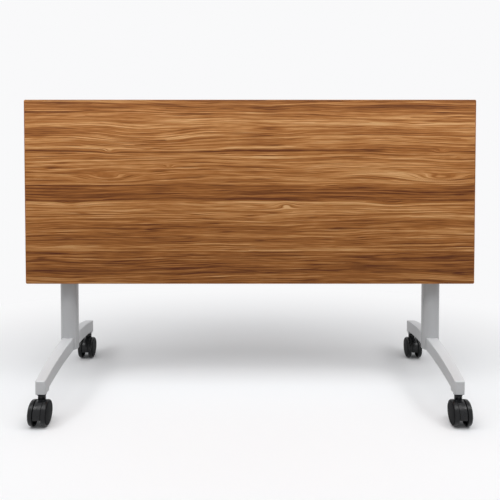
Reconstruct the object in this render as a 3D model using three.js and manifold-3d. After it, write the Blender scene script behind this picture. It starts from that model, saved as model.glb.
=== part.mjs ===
// Flip top training table on casters, stored with its top turned upright.
// Millimetres, +Z up. X runs along the table and the upright work surface faces -Y.
// The origin is on the floor, in the middle of the table's outline.

import * as THREE from 'three';
import { mergeVertices } from 'three/addons/utils/BufferGeometryUtils.js';
import Module from 'manifold-3d';

const wasm = await Module();
wasm.setup();

const degrees = THREE.MathUtils.degToRad;

// Fits
const seatGap = 0.3; // between pieces that rest on or fill one another
const runningGap = 0.4; // all round a piece that turns in another
const sideGap = 0.8; // beside a flat piece that swings past another

// Table top
const topLength = 1500;
const topDepth = 615;
const topCornerRadius = 5;
const boardThickness = 25;
const edgeThickness = 2;
const tableHeight = 740; // floor to work surface with the top lying flat
const foldAngle = degrees(90); // lying flat to upright

// Legs
const topOverhang = 125; // end of the top to column axis
const columnDiameter = 60;
const columnWall = 2.5;
const columnSetback = 25; // column axis behind the middle of the foot

// Feet
const stemSpacing = 520; // front caster stem to rear caster stem
const footWidth = 40; // at the column
const footEndWidth = 31;
const footEndLength = 32; // the thick end that holds a caster
const footEndHeight = 41;
const footEndRadius = 6;
const footEndDrop = 8; // end block below the arch beside it
const archRise = 31; // top of the arch above its ends
const archHeight = 43; // depth of the arch at its crown
const footSpigotHeight = 55; // above the crown, inside the column
const socketRoof = 6; // metal left above a caster socket

// Casters
const wheelDiameter = 75;
const wheelWidth = 14.5;
const wheelShoulder = 6;
const wheelRimWall = 4.5;
const wheelDiscWall = 5;
const wheelHubRadius = 9;
const wheelSideGap = 1;
const hoodWidth = 23.5;
const hoodInset = 2; // hood below the tread
const hoodHubRadius = 12;
const hoodFrontAngle = degrees(194); // from straight back, over the top, to the front lip
const hoodRearAngle = degrees(-25);
const trail = 18; // swivel axis to wheel axle
const neckDiameter = 23.4;
const neckHeight = 14; // wheel top to foot
const axleDiameter = 8;
const stemDiameter = 11;
const stemDepth = 30; // stem inside the hood's neck
const socketWall = 3;
const socketFlangeDiameter = 27.4;
const socketFlangeThickness = 4;

// Flip pivot
const pivotBelowBoard = 47;
const tubeDiameter = 50;
const tubeWall = 2.5;
const bushWall = 2.4;
const bushFlangeThickness = 1.5;
const bushFlangeRim = 6; // flange beyond the bush's outside
const earRim = 10; // ear beyond its bush
const capThickness = 4;
const capPlugLength = 20;
const tubeOverhang = 0.6; // tube end beyond the outer ear

// Pivot heads on the columns
const headWidth = 60;
const headWall = 11; // round the cross tube
const headRise = 60; // column top to flip axis
const headSpigotHeight = 50;
const restWidth = 36;
const restFront = 4; // front edge of the rest behind the flip axis
const restSkirt = 14; // rest's lower edge below the flip axis
const restPadThickness = 4;
const restPadMargin = 2;
const clampScrewDiameter = 8;
const clampHeadDiameter = 13;
const clampHeadHeight = 6;

// Tie bolts, foot to head
const tieDiameter = 10;
const tieHeadDiameter = 18;
const tieHeadHeight = 8;
const tieHeadRecess = 2;
const tieTopCover = 10; // metal between the bolt's top and the cross tube

// Bearers under the top
const bearerLength = 440;
const bearerSheet = 3;
const bearerEndDepth = 10;
const bearerMidDepth = 26;
const bearerMidLength = 240;
const bufferDiameter = 22;
const bufferFromEnd = 30; // buffer to the bearer's front end

// Latch and release bar
const indexThickness = 6;
const indexRadius = 44;
const indexMargin = degrees(14); // rim beyond the notches
const notchDepth = 6;
const notchWidth = 11;
const latchAngle = degrees(120); // from straight up towards the front, top lying flat
const pawlReach = 50;
const pawlThickness = 5;
const pawlArm = 10;
const pawlHubWall = 5;
const toothWidth = 9;
const toothHeight = 6;
const toothLift = 0.5; // tooth above the rim at rest
const barDiameter = 14;
const barBossWall = 6;
const gripLength = 90;
const gripReach = 110;
const gripThickness = 8;
const gripSleeveWall = 5.5;
const guideWidth = 30;
const guideWall = 7;

// Release springs
const springWire = 2;
const springBarGap = 1.2;
const springTurns = 5.5;
const springPitch = 2.8;
const springBend = 3;
const springEarGap = 2;
const springStub = 3;
const curlSteps = 8;
const wireSides = 5;

// Roundness of the faceted shapes
const wheelSegments = 24;
const tubeSegments = 24;
const columnSegments = 28;
const smallSegments = 12;
const arcSegments = 7;

// Heights and places that follow
const legSpacing = topLength - 2 * topOverhang;
const wheelRadius = wheelDiameter / 2;
const footBottom = wheelDiameter + neckHeight;
const footEndTop = footBottom + footEndHeight;
const crownTop = footEndTop + archRise;
const crownBottom = crownTop - archHeight;
const pivotHeight = tableHeight - boardThickness - pivotBelowBoard;
const columnRadius = columnDiameter / 2;
const columnTop = pivotHeight - headRise;
const columnInside = columnRadius - columnWall;
const frontStem = -stemSpacing / 2 + trail;
const rearStem = stemSpacing / 2 + trail;
const footFront = frontStem - footEndLength / 2;
const footRear = rearStem + footEndLength / 2;
const columnY = (frontStem + rearStem) / 2 + columnSetback;
const tubeRadius = tubeDiameter / 2;
const headHalf = headWidth / 2;
const headRadius = tubeRadius + seatGap + headWall;
const bushRadius = tubeRadius + runningGap + bushWall;
const earRadius = bushRadius + seatGap + earRim;
const indexOutside = headHalf + seatGap + indexThickness;
const earInside = indexOutside + seatGap + bushFlangeThickness + seatGap;
const earOutside = earInside + bearerSheet;
const tubeEnd = earOutside + tubeOverhang;
const barRadius = barDiameter / 2;

// The bearer in the top's own frame: origin on the flip axis, top lying flat
const webTop = pivotBelowBoard - seatGap;
const webBottom = webTop - bearerSheet;
const bufferFromPivot = bearerLength / 2 - bufferFromEnd;

// The release bar: the tooth moves straight in and out of the index rim
const barY = -indexRadius * Math.sin(latchAngle) + pawlReach * Math.cos(latchAngle);
const barZ = indexRadius * Math.cos(latchAngle) + pawlReach * Math.sin(latchAngle);

const sides = [
  { name: 'left', x: -legSpacing / 2, inward: 1 },
  { name: 'right', x: legSpacing / 2, inward: -1 },
];

// Materials
function finish(color, roughness, metalness) {
  return new THREE.MeshStandardMaterial({ color, roughness, metalness });
}

const silverPaint = () => finish(0xb9bcbf, 0.42, 0.35);
const walnutBoard = () => finish(0x9c6b42, 0.45, 0);
const walnutEdge = () => finish(0x7c5232, 0.45, 0);
const bearerPaint = () => finish(0x2a2b2d, 0.55, 0.2);
const zincSteel = () => finish(0xa9adb0, 0.35, 0.9);
const blackPlastic = () => finish(0x1b1b1c, 0.45, 0);
const greyPlastic = () => finish(0x2f3032, 0.5, 0);
const whiteNylon = () => finish(0xd8d8d2, 0.5, 0);
const blackRubber = () => finish(0x161616, 0.85, 0);
const springSteel = () => finish(0x8f9296, 0.3, 0.95);

// Solids from three.js geometry, joined and cut where a piece needs it
function solidFrom(geometry) {
  const bare = geometry.clone();
  bare.deleteAttribute('normal');
  bare.deleteAttribute('uv');
  const merged = mergeVertices(bare, 1e-4);
  return new wasm.Manifold(new wasm.Mesh({
    numProp: 3,
    vertProperties: merged.attributes.position.array,
    triVerts: merged.index.array,
  }));
}

function geometryFrom(solid) {
  const mesh = solid.getMesh();
  const geometry = new THREE.BufferGeometry();
  geometry.setAttribute('position', new THREE.BufferAttribute(mesh.vertProperties, 3));
  geometry.setIndex(new THREE.BufferAttribute(mesh.triVerts, 1));
  geometry.computeVertexNormals();
  return geometry;
}

function addPiece(group, name, solid, material) {
  const mesh = new THREE.Mesh(geometryFrom(solid), material);
  mesh.name = name;
  group.add(mesh);
}

// An outline in (x, y) raised from one height to another
function raise(shape, bottom, top) {
  const options = { depth: top - bottom, bevelEnabled: false, curveSegments: arcSegments };
  const geometry = new THREE.ExtrudeGeometry(shape, options);
  geometry.translate(0, 0, bottom);
  return solidFrom(geometry);
}

// An outline in (y, z) carried along X between two places, given in either order
function carry(shape, xA, xB) {
  const options = { depth: Math.abs(xB - xA), bevelEnabled: false, curveSegments: arcSegments };
  const geometry = new THREE.ExtrudeGeometry(shape, options);
  geometry.rotateX(Math.PI / 2);
  geometry.rotateZ(Math.PI / 2);
  geometry.translate(Math.min(xA, xB), 0, 0);
  return solidFrom(geometry);
}

// A profile of [radius, distance along the axis] pairs turned about that axis
function turn(profile, segments) {
  const points = profile.map(([radius, along]) => new THREE.Vector2(radius, along));
  if (THREE.ShapeUtils.area(points) < 0) {
    points.reverse();
  }
  return new THREE.LatheGeometry(points, segments, Math.PI / segments);
}

function turnAboutX(profile, segments, y = 0, z = 0) {
  const geometry = turn(profile, segments);
  geometry.rotateZ(-Math.PI / 2);
  geometry.translate(0, y, z);
  return solidFrom(geometry);
}

function turnAboutY(profile, segments, x = 0, z = 0) {
  const geometry = turn(profile, segments);
  geometry.translate(x, 0, z);
  return solidFrom(geometry);
}

function turnAboutZ(profile, segments, x = 0, y = 0) {
  const geometry = turn(profile, segments);
  geometry.rotateX(Math.PI / 2);
  geometry.translate(x, y, 0);
  return solidFrom(geometry);
}

// Profiles of a round bar and of a round tube
function bar(radius, from, to) {
  return [[0, from], [radius, from], [radius, to], [0, to]];
}

function sleeve(inside, outside, from, to) {
  return [[inside, from], [outside, from], [outside, to], [inside, to], [inside, from]];
}

function outline(points) {
  return new THREE.Shape(points.map(([a, b]) => new THREE.Vector2(a, b)));
}

function rectangle(a0, b0, a1, b1) {
  return outline([[a0, b0], [a1, b0], [a1, b1], [a0, b1]]);
}

function roundedRectangle(width, depth, radius) {
  const x = width / 2 - radius;
  const y = depth / 2 - radius;
  const shape = new THREE.Shape();
  shape.absarc(x, y, radius, 0, Math.PI / 2);
  shape.absarc(-x, y, radius, Math.PI / 2, Math.PI);
  shape.absarc(-x, -y, radius, Math.PI, 1.5 * Math.PI);
  shape.absarc(x, -y, radius, 1.5 * Math.PI, 2 * Math.PI);
  shape.closePath();
  return shape;
}

// A place on a leg, measured from its column axis towards the middle of the table
function inFrom(side, distance) {
  return side.x + side.inward * distance;
}

// A shallow arc over a chord, as its centre height, radius and half angle
function archOver(halfChord, rise, top) {
  const radius = (halfChord * halfChord + rise * rise) / (2 * rise);
  return { radius, centre: top - radius, half: Math.asin(halfChord / radius) };
}

// Foot seen from the side: an arch between two thick ends. The gap grows it for the column's notch.
function footSide(gap) {
  const middle = (footFront + footRear) / 2;
  const over = archOver((footRear - footFront) / 2, archRise, crownTop + gap);
  const underStart = footBottom + footEndDrop;
  const underHalf = (footRear - footFront) / 2 - footEndLength;
  const under = archOver(underHalf, crownBottom - underStart, crownBottom);
  const up = Math.PI / 2;
  const shape = new THREE.Shape();
  shape.moveTo(footFront, footBottom);
  shape.lineTo(footFront + footEndLength, footBottom);
  shape.absarc(middle, under.centre - gap, under.radius, up + under.half, up - under.half, true);
  shape.lineTo(footRear - footEndLength, footBottom);
  shape.lineTo(footRear, footBottom);
  shape.absarc(middle, over.centre, over.radius, up - over.half, up + over.half, false);
  shape.closePath();
  return shape;
}

// Foot seen from above: widest at the column, with rounded ends
function footPlan() {
  const wide = footWidth / 2;
  const narrow = footEndWidth / 2;
  const corner = narrow - footEndRadius;
  const shape = new THREE.Shape();
  shape.moveTo(wide, columnY);
  shape.absarc(corner, footRear - footEndRadius, footEndRadius, 0, Math.PI / 2);
  shape.absarc(-corner, footRear - footEndRadius, footEndRadius, Math.PI / 2, Math.PI);
  shape.lineTo(-wide, columnY);
  shape.absarc(-corner, footFront + footEndRadius, footEndRadius, Math.PI, 1.5 * Math.PI);
  shape.absarc(corner, footFront + footEndRadius, footEndRadius, 1.5 * Math.PI, 2 * Math.PI);
  shape.closePath();
  return shape;
}

const socketTop = footEndTop - socketRoof;
const socketRadius = stemDiameter / 2 + runningGap + socketWall;

function footSolid() {
  const tieRadius = tieDiameter / 2 + seatGap;
  const tieSeat = crownBottom + tieHeadRecess + tieHeadHeight + seatGap;
  const spigot = bar(columnInside - seatGap, crownBottom + archHeight / 2, crownTop + footSpigotHeight);
  let foot = carry(footSide(0), -footWidth / 2, footWidth / 2);
  foot = foot.intersect(raise(footPlan(), footBottom, crownTop));
  foot = foot.add(turnAboutZ(spigot, columnSegments, 0, columnY));
  foot = foot.subtract(turnAboutZ(bar(tieRadius, footBottom, columnTop), smallSegments, 0, columnY));
  const tieHead = bar(tieHeadDiameter / 2 + seatGap, footBottom, tieSeat);
  foot = foot.subtract(turnAboutZ(tieHead, smallSegments, 0, columnY));
  for (const stemY of [frontStem, rearStem]) {
    const hole = bar(socketRadius + seatGap, footBottom - neckHeight, socketTop + seatGap);
    foot = foot.subtract(turnAboutZ(hole, smallSegments, 0, stemY));
  }
  return foot;
}

// Column: a round tube whose lower end is notched to straddle the foot
function columnSolid() {
  const wall = sleeve(columnInside, columnRadius, crownBottom, columnTop);
  const tube = turnAboutZ(wall, columnSegments, 0, columnY);
  const notchHalf = footWidth / 2 + seatGap;
  return tube.subtract(carry(footSide(seatGap), -notchHalf, notchHalf));
}

// Head: a casting that plugs the column, holds the cross tube and carries the rest for the flat top
const restTop = webBottom - seatGap - restPadThickness - seatGap;
const tieTop = pivotHeight - tubeRadius - tieTopCover;

function headSolid() {
  const plug = bar(columnInside - seatGap, columnTop - headSpigotHeight, pivotHeight);
  const body = bar(columnRadius, columnTop + seatGap, pivotHeight);
  const rest = rectangle(restFront, -restSkirt, headRadius, restTop);
  const tieHole = bar(tieDiameter / 2 + seatGap, columnTop - 2 * headSpigotHeight, tieTop + seatGap);
  const clampHole = bar(clampScrewDiameter / 2 + seatGap, 0, 2 * headRadius);
  const tubeHole = bar(tubeRadius + seatGap, -headWidth, headWidth);
  let head = turnAboutX(bar(headRadius, -headHalf, headHalf), tubeSegments);
  head = head.add(carry(rest, -restWidth / 2, restWidth / 2));
  head = head.translate([0, 0, pivotHeight]);
  head = head.add(turnAboutZ(body, columnSegments));
  head = head.add(turnAboutZ(plug, columnSegments));
  head = head.subtract(turnAboutX(tubeHole, tubeSegments, 0, pivotHeight));
  head = head.subtract(turnAboutZ(tieHole, smallSegments));
  head = head.subtract(turnAboutY(clampHole, smallSegments, 0, pivotHeight));
  return head.translate([0, columnY, 0]);
}

function tieBoltSolid() {
  const headBottom = crownBottom + tieHeadRecess;
  const headTop = headBottom + tieHeadHeight;
  const profile = [
    [0, headBottom],
    [tieHeadDiameter / 2, headBottom],
    [tieHeadDiameter / 2, headTop],
    [tieDiameter / 2, headTop],
    [tieDiameter / 2, tieTop],
    [0, tieTop],
  ];
  return turnAboutZ(profile, smallSegments, 0, columnY);
}

function clampScrewSolid() {
  const seat = headRadius + seatGap;
  const profile = [
    [0, tubeRadius + seatGap],
    [clampScrewDiameter / 2, tubeRadius + seatGap],
    [clampScrewDiameter / 2, seat],
    [clampHeadDiameter / 2, seat],
    [clampHeadDiameter / 2, seat + clampHeadHeight],
    [0, seat + clampHeadHeight],
  ];
  return turnAboutY(profile, smallSegments);
}

// Index plate: a ring on the cross tube with a larger rim that has a notch at each end of the flip
function indexSolid() {
  const stored = latchAngle + foldAngle;
  const up = Math.PI / 2;
  const rim = new THREE.Shape();
  rim.absarc(0, 0, headRadius, up + stored + indexMargin, up + latchAngle - indexMargin + 2 * Math.PI);
  rim.absarc(0, 0, indexRadius, up + latchAngle - indexMargin, up + stored + indexMargin);
  rim.closePath();
  const far = indexRadius + notchDepth;
  const notch = rectangle(-notchWidth / 2, indexRadius - notchDepth, notchWidth / 2, far);
  let plate = carry(rim, 0, indexThickness);
  for (const angle of [latchAngle, stored]) {
    const cut = carry(notch, -indexThickness, 2 * indexThickness);
    plate = plate.subtract(cut.rotate([THREE.MathUtils.radToDeg(angle), 0, 0]));
  }
  const hole = bar(tubeRadius + seatGap, -indexThickness, 2 * indexThickness);
  return plate.subtract(turnAboutX(hole, tubeSegments));
}

// Bearer: a channel under the top whose flanges drop to ears round the cross tube and the release bar
function bearerSolid(side) {
  const half = bearerLength / 2;
  const mid = bearerMidLength / 2;
  const flange = outline([
    [-half, webTop - bearerEndDepth],
    [-mid, webTop - bearerMidDepth],
    [mid, webTop - bearerMidDepth],
    [half, webTop - bearerEndDepth],
    [half, webTop],
    [-half, webTop],
  ]);
  const bossRadius = barRadius + runningGap + barBossWall;
  const left = side.x - earOutside;
  const right = side.x + earOutside;
  const inner = rectangle(-2 * half, -2 * half, 2 * half, webBottom);
  const barHole = bar(barRadius + runningGap, left - 1, right + 1);
  const earHole = bar(bushRadius + seatGap, left - 1, right + 1);
  let bearer = carry(flange, left, right);
  bearer = bearer.add(carry(rectangle(-earRadius, 0, earRadius, webTop), left, right));
  bearer = bearer.add(carry(rectangle(barY - bossRadius, barZ, barY + bossRadius, webTop), left, right));
  bearer = bearer.add(turnAboutX(bar(earRadius, left, right), tubeSegments));
  bearer = bearer.add(turnAboutX(bar(bossRadius, left, right), smallSegments, barY, barZ));
  bearer = bearer.subtract(carry(inner, side.x - earInside, side.x + earInside));
  bearer = bearer.subtract(turnAboutX(earHole, tubeSegments));
  return bearer.subtract(turnAboutX(barHole, smallSegments, barY, barZ));
}

// Flanged bush in an ear, from the flange's face to the ear's far face
function bushSolid(side, flangeStart) {
  const way = Math.sign(flangeStart);
  const at = (distance) => inFrom(side, way * distance);
  const inside = tubeRadius + runningGap;
  const flangeRadius = bushRadius + bushFlangeRim;
  const flangeEnd = earInside - seatGap;
  const profile = [
    [inside, at(Math.abs(flangeStart))],
    [flangeRadius, at(Math.abs(flangeStart))],
    [flangeRadius, at(flangeEnd)],
    [bushRadius, at(flangeEnd)],
    [bushRadius, at(earOutside)],
    [inside, at(earOutside)],
    [inside, at(Math.abs(flangeStart))],
  ];
  return turnAboutX(profile, tubeSegments);
}

function capSolid(side) {
  const plugRadius = tubeRadius - tubeWall - seatGap;
  const face = tubeEnd + seatGap;
  const profile = [
    [0, inFrom(side, capPlugLength - face)],
    [plugRadius, inFrom(side, capPlugLength - face)],
    [plugRadius, inFrom(side, -face)],
    [earRadius, inFrom(side, -face)],
    [earRadius, inFrom(side, -face - capThickness)],
    [0, inFrom(side, -face - capThickness)],
  ];
  return turnAboutX(profile, tubeSegments, columnY, pivotHeight);
}

// Pawl: a hub on the bar, an arm beside the index rim and a tooth that faces it
function pawlSolid(side) {
  const hub = barRadius + seatGap + pawlHubWall;
  const root = toothLift + toothHeight;
  const near = pawlReach - toothWidth / 2;
  const far = pawlReach + toothWidth / 2;
  // Places along the rim's tangent at the tooth, and out from the flip axis
  const place = (along, out) => [
    barY - along * Math.cos(latchAngle) - out * Math.sin(latchAngle),
    barZ - along * Math.sin(latchAngle) + out * Math.cos(latchAngle),
  ];
  const arm = outline([
    place(0, -hub / 2),
    place(near, root),
    place(near, toothLift),
    place(far, toothLift),
    place(far, root + pawlArm),
    place(0, hub),
  ]);
  const start = inFrom(side, indexOutside - seatGap - pawlThickness);
  const end = inFrom(side, indexOutside - seatGap);
  let pawl = carry(arm, start, end);
  pawl = pawl.add(turnAboutX(bar(hub, start, end), smallSegments, barY, barZ));
  const hole = bar(barRadius + seatGap, start - side.inward, end + side.inward);
  return pawl.subtract(turnAboutX(hole, smallSegments, barY, barZ));
}

// Where a grip starts, leaving room for the release spring beside the ear
const springStart = earOutside + springEarGap + springWire / 2;
const springEnd = springStart + springTurns * springPitch;
const gripStart = springEnd + springBend + springStub + seatGap;
const springRadius = barRadius + springBarGap + springWire / 2;

function gripSolid(side) {
  const hub = barRadius + seatGap + gripSleeveWall;
  const tip = gripThickness / 2;
  const blade = new THREE.Shape();
  blade.moveTo(0, -hub);
  blade.lineTo(0, hub);
  blade.lineTo(-2 * hub, tip);
  blade.absarc(-gripReach + tip, 0, tip, Math.PI / 2, 1.5 * Math.PI);
  blade.lineTo(-2 * hub, -tip);
  blade.closePath();
  const start = inFrom(side, gripStart);
  const end = inFrom(side, gripStart + gripLength);
  let grip = carry(blade, start, end).translate([0, barY, barZ]);
  grip = grip.add(turnAboutX(bar(hub, start, end), smallSegments, barY, barZ));
  const hole = bar(barRadius + seatGap, start - side.inward, end + side.inward);
  return grip.subtract(turnAboutX(hole, smallSegments, barY, barZ));
}

// Release spring: straight down from the board, round the bar, then along the bar to the grip
function springPath(side) {
  const points = [];
  const place = (along, y, z) => points.push(new THREE.Vector3(inFrom(side, along), barY + y, barZ + z));
  place(springStart, springRadius, pivotBelowBoard - barZ - seatGap);
  place(springStart, springRadius, springWire);
  const steps = Math.round(springTurns * curlSteps);
  for (let step = 0; step <= steps; step += 1) {
    const angle = (-2 * Math.PI * step) / curlSteps;
    const along = springStart + (springPitch * step) / curlSteps;
    place(along, springRadius * Math.cos(angle), springRadius * Math.sin(angle));
  }
  const bendSteps = 3;
  for (let step = 1; step <= bendSteps; step += 1) {
    const angle = (Math.PI / 2) * (step / bendSteps);
    place(springEnd + springBend * (1 - Math.cos(angle)), -springRadius, springBend * Math.sin(angle));
  }
  place(gripStart - seatGap, -springRadius, springBend);
  return points;
}

// The least room between parts of a wire that are more than half a curl apart
function leastGap(points) {
  let least = Infinity;
  for (let i = 0; i < points.length; i += 1) {
    for (let j = i + curlSteps / 2; j < points.length; j += 1) {
      least = Math.min(least, points[i].distanceTo(points[j]) - springWire);
    }
  }
  return least;
}

// A round wire through points, with a ring of vertices square to the path at each and a cap at each end
function wireGeometry(points, radius, ringSides) {
  const positions = [];
  const indices = [];
  const last = points.length - 1;
  let across = new THREE.Vector3(1, 0, 0);
  points.forEach((point, i) => {
    const ahead = points[Math.min(i + 1, last)].clone().sub(points[Math.max(i - 1, 0)]).normalize();
    across = across.clone().addScaledVector(ahead, -across.dot(ahead)).normalize();
    const third = new THREE.Vector3().crossVectors(ahead, across);
    for (let k = 0; k < ringSides; k += 1) {
      const angle = (2 * Math.PI * k) / ringSides;
      const vertex = point.clone().addScaledVector(across, radius * Math.cos(angle));
      vertex.addScaledVector(third, radius * Math.sin(angle));
      positions.push(vertex.x, vertex.y, vertex.z);
    }
  });
  for (let i = 0; i < last; i += 1) {
    for (let k = 0; k < ringSides; k += 1) {
      const a = i * ringSides + k;
      const b = i * ringSides + ((k + 1) % ringSides);
      indices.push(a, b, b + ringSides, a, b + ringSides, a + ringSides);
    }
  }
  for (let k = 1; k < ringSides - 1; k += 1) {
    const end = last * ringSides;
    indices.push(0, k + 1, k, end, end + k, end + k + 1);
  }
  const geometry = new THREE.BufferGeometry();
  geometry.setAttribute('position', new THREE.Float32BufferAttribute(positions, 3));
  geometry.setIndex(indices);
  return geometry;
}

function guideSolid() {
  const wide = barRadius + guideWall;
  const block = rectangle(barY - wide, barZ, barY + wide, pivotBelowBoard - seatGap);
  let guide = carry(block, -guideWidth / 2, guideWidth / 2);
  guide = guide.add(turnAboutX(bar(wide, -guideWidth / 2, guideWidth / 2), smallSegments, barY, barZ));
  const hole = bar(barRadius + runningGap, -guideWidth, guideWidth);
  return guide.subtract(turnAboutX(hole, smallSegments, barY, barZ));
}

// Caster pieces in a frame on the swivel axis at floor level
function wheelSolid(way) {
  const tread = wheelRadius / Math.cos(Math.PI / wheelSegments);
  const rim = tread - wheelRimWall;
  const bore = axleDiameter / 2 + runningGap;
  const start = hoodWidth / 2 + wheelSideGap;
  const floor = wheelWidth - wheelDiscWall;
  const shoulder = [30, 60].map((turned) => [
    tread - wheelShoulder * (1 - Math.cos(degrees(turned))),
    wheelWidth - wheelShoulder * (1 - Math.sin(degrees(turned))),
  ]);
  const profile = [
    [0, floor],
    [bore, floor],
    [bore, 0],
    [wheelHubRadius, 0],
    [wheelHubRadius, floor],
    [rim, floor],
    [rim, 0],
    [tread, 0],
    [tread, wheelWidth - wheelShoulder],
    ...shoulder,
    [tread - wheelShoulder, wheelWidth],
    [0, wheelWidth],
  ];
  const placed = profile.map(([radius, along]) => [radius, way * (start + along)]);
  return turnAboutX(placed, wheelSegments, -trail, wheelRadius);
}

function hoodSolid() {
  const hood = new THREE.Shape();
  hood.absarc(-trail, wheelRadius, wheelRadius - hoodInset, hoodRearAngle, hoodFrontAngle);
  hood.absarc(-trail, wheelRadius, hoodHubRadius, degrees(225), degrees(315));
  hood.closePath();
  const neckTop = footBottom - seatGap - socketFlangeThickness - runningGap;
  const neck = bar(neckDiameter / 2, wheelRadius, neckTop);
  const stemHole = bar(stemDiameter / 2 + seatGap, neckTop - stemDepth - seatGap, footBottom);
  const axleHole = bar(axleDiameter / 2 + seatGap, -hoodWidth, hoodWidth);
  let solid = carry(hood, -hoodWidth / 2, hoodWidth / 2);
  solid = solid.add(turnAboutZ(neck, smallSegments));
  solid = solid.subtract(turnAboutZ(stemHole, smallSegments));
  return solid.subtract(turnAboutX(axleHole, smallSegments, -trail, wheelRadius));
}

function stemSolid() {
  const radius = stemDiameter / 2;
  const neckTop = footBottom - seatGap - socketFlangeThickness - runningGap;
  const bottom = neckTop - stemDepth;
  const top = socketTop - runningGap;
  const chamfer = 2;
  const profile = [
    [0, bottom],
    [radius, bottom],
    [radius, top - chamfer],
    [radius - chamfer, top],
    [0, top],
  ];
  return turnAboutZ(profile, smallSegments);
}

function socketSolid() {
  const flangeTop = footBottom - seatGap;
  const inside = stemDiameter / 2 + runningGap;
  const profile = [
    [inside, flangeTop - socketFlangeThickness],
    [socketFlangeDiameter / 2, flangeTop - socketFlangeThickness],
    [socketFlangeDiameter / 2, flangeTop],
    [socketRadius, flangeTop],
    [socketRadius, socketTop],
    [inside, socketTop],
    [inside, flangeTop - socketFlangeThickness],
  ];
  return turnAboutZ(profile, smallSegments);
}

function axleSolid() {
  const half = hoodWidth / 2 + wheelSideGap + wheelWidth - wheelDiscWall - seatGap;
  return turnAboutX(bar(axleDiameter / 2, -half, half), smallSegments, -trail, wheelRadius);
}

function addCaster(table, side, end, stemY) {
  const group = new THREE.Group();
  group.position.set(side.x, stemY, 0);
  const name = `${end}_${side.name}`;
  addPiece(group, `${name}_socket`, socketSolid(), blackPlastic());
  addPiece(group, `${name}_stem`, stemSolid(), zincSteel());
  addPiece(group, `${name}_hood`, hoodSolid(), greyPlastic());
  addPiece(group, `${name}_axle`, axleSolid(), zincSteel());
  addPiece(group, `${name}_inner_wheel`, wheelSolid(side.inward), blackPlastic());
  addPiece(group, `${name}_outer_wheel`, wheelSolid(-side.inward), blackPlastic());
  table.add(group);
}

function addLeg(table, side) {
  const group = new THREE.Group();
  group.position.set(side.x, 0, 0);
  addPiece(group, `${side.name}_foot`, footSolid(), silverPaint());
  addPiece(group, `${side.name}_column`, columnSolid(), silverPaint());
  addPiece(group, `${side.name}_tie_bolt`, tieBoltSolid(), zincSteel());
  addPiece(group, `${side.name}_head`, headSolid(), silverPaint());
  const pad = rectangle(
    restFront + restPadMargin,
    restTop + seatGap,
    headRadius - restPadMargin,
    restTop + seatGap + restPadThickness,
  );
  const padHalf = restWidth / 2 - restPadMargin;
  const padSolid = carry(pad, -padHalf, padHalf).translate([0, columnY, pivotHeight]);
  addPiece(group, `${side.name}_rest_pad`, padSolid, blackRubber());
  const clamp = clampScrewSolid().translate([0, columnY, pivotHeight]);
  addPiece(group, `${side.name}_clamp_screw`, clamp, zincSteel());
  const indexStart = side.inward > 0 ? headHalf + seatGap : -indexOutside;
  const index = indexSolid().translate([indexStart, columnY, pivotHeight]);
  addPiece(group, `${side.name}_index_plate`, index, zincSteel());
  table.add(group);
  addPiece(table, `${side.name}_tube_cap`, capSolid(side), blackPlastic());
  addCaster(table, side, 'front', frontStem);
  addCaster(table, side, 'rear', rearStem);
}

function addTop(table) {
  const group = new THREE.Group();
  group.position.set(0, columnY, pivotHeight);
  group.rotation.x = foldAngle;
  const underside = pivotBelowBoard;
  const surface = pivotBelowBoard + boardThickness;
  const trim = 2 * edgeThickness;
  const bandInside = roundedRectangle(topLength - trim, topDepth - trim, topCornerRadius - edgeThickness);
  const inset = trim + 2 * seatGap;
  const boardRadius = topCornerRadius - edgeThickness - seatGap;
  const boardShape = roundedRectangle(topLength - inset, topDepth - inset, boardRadius);
  const bandShape = roundedRectangle(topLength, topDepth, topCornerRadius);
  bandShape.holes.push(bandInside);
  addPiece(group, 'top_board', raise(boardShape, underside, surface), walnutBoard());
  addPiece(group, 'edge_band', raise(bandShape, underside, surface), walnutEdge());
  for (const side of sides) {
    addPiece(group, `${side.name}_bearer`, bearerSolid(side), bearerPaint());
    const innerFlange = indexOutside + seatGap;
    const outerFlange = -(headHalf + seatGap);
    addPiece(group, `${side.name}_inner_bush`, bushSolid(side, innerFlange), whiteNylon());
    addPiece(group, `${side.name}_outer_bush`, bushSolid(side, outerFlange), whiteNylon());
    const buffer = bar(bufferDiameter / 2, columnRadius + seatGap, webBottom - seatGap);
    const bufferSolid = turnAboutZ(buffer, smallSegments, side.x, -bufferFromPivot);
    addPiece(group, `${side.name}_buffer`, bufferSolid, blackRubber());
    const path = springPath(side);
    console.log(`${side.name}_release_spring least gap to itself ${leastGap(path).toFixed(2)} mm`);
    const spring = solidFrom(wireGeometry(path, springWire / 2, wireSides));
    addPiece(group, `${side.name}_release_spring`, spring, springSteel());
  }
  addPiece(group, 'bar_guide', guideSolid(), blackPlastic());
  addRelease(group);
  table.add(group);
}

// Release bar with its pawls and grips, which turn together
function addRelease(top) {
  const half = legSpacing / 2 - headHalf - sideGap;
  const rod = turnAboutX(bar(barRadius, -half, half), smallSegments, barY, barZ);
  addPiece(top, 'release_bar', rod, zincSteel());
  for (const side of sides) {
    addPiece(top, `${side.name}_pawl`, pawlSolid(side), zincSteel());
    addPiece(top, `${side.name}_grip`, gripSolid(side), blackPlastic());
  }
}

function addCrossTube(table) {
  const half = legSpacing / 2 + tubeEnd;
  const wall = sleeve(tubeRadius - tubeWall, tubeRadius, -half, half);
  addPiece(table, 'cross_tube', turnAboutX(wall, tubeSegments, columnY, pivotHeight), silverPaint());
}

const table = new THREE.Group();
for (const side of sides) {
  addLeg(table, side);
}
addCrossTube(table);
addTop(table);

export default table;
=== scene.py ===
"""Flip top training table: finished pieces, materials and studio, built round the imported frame."""

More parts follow.
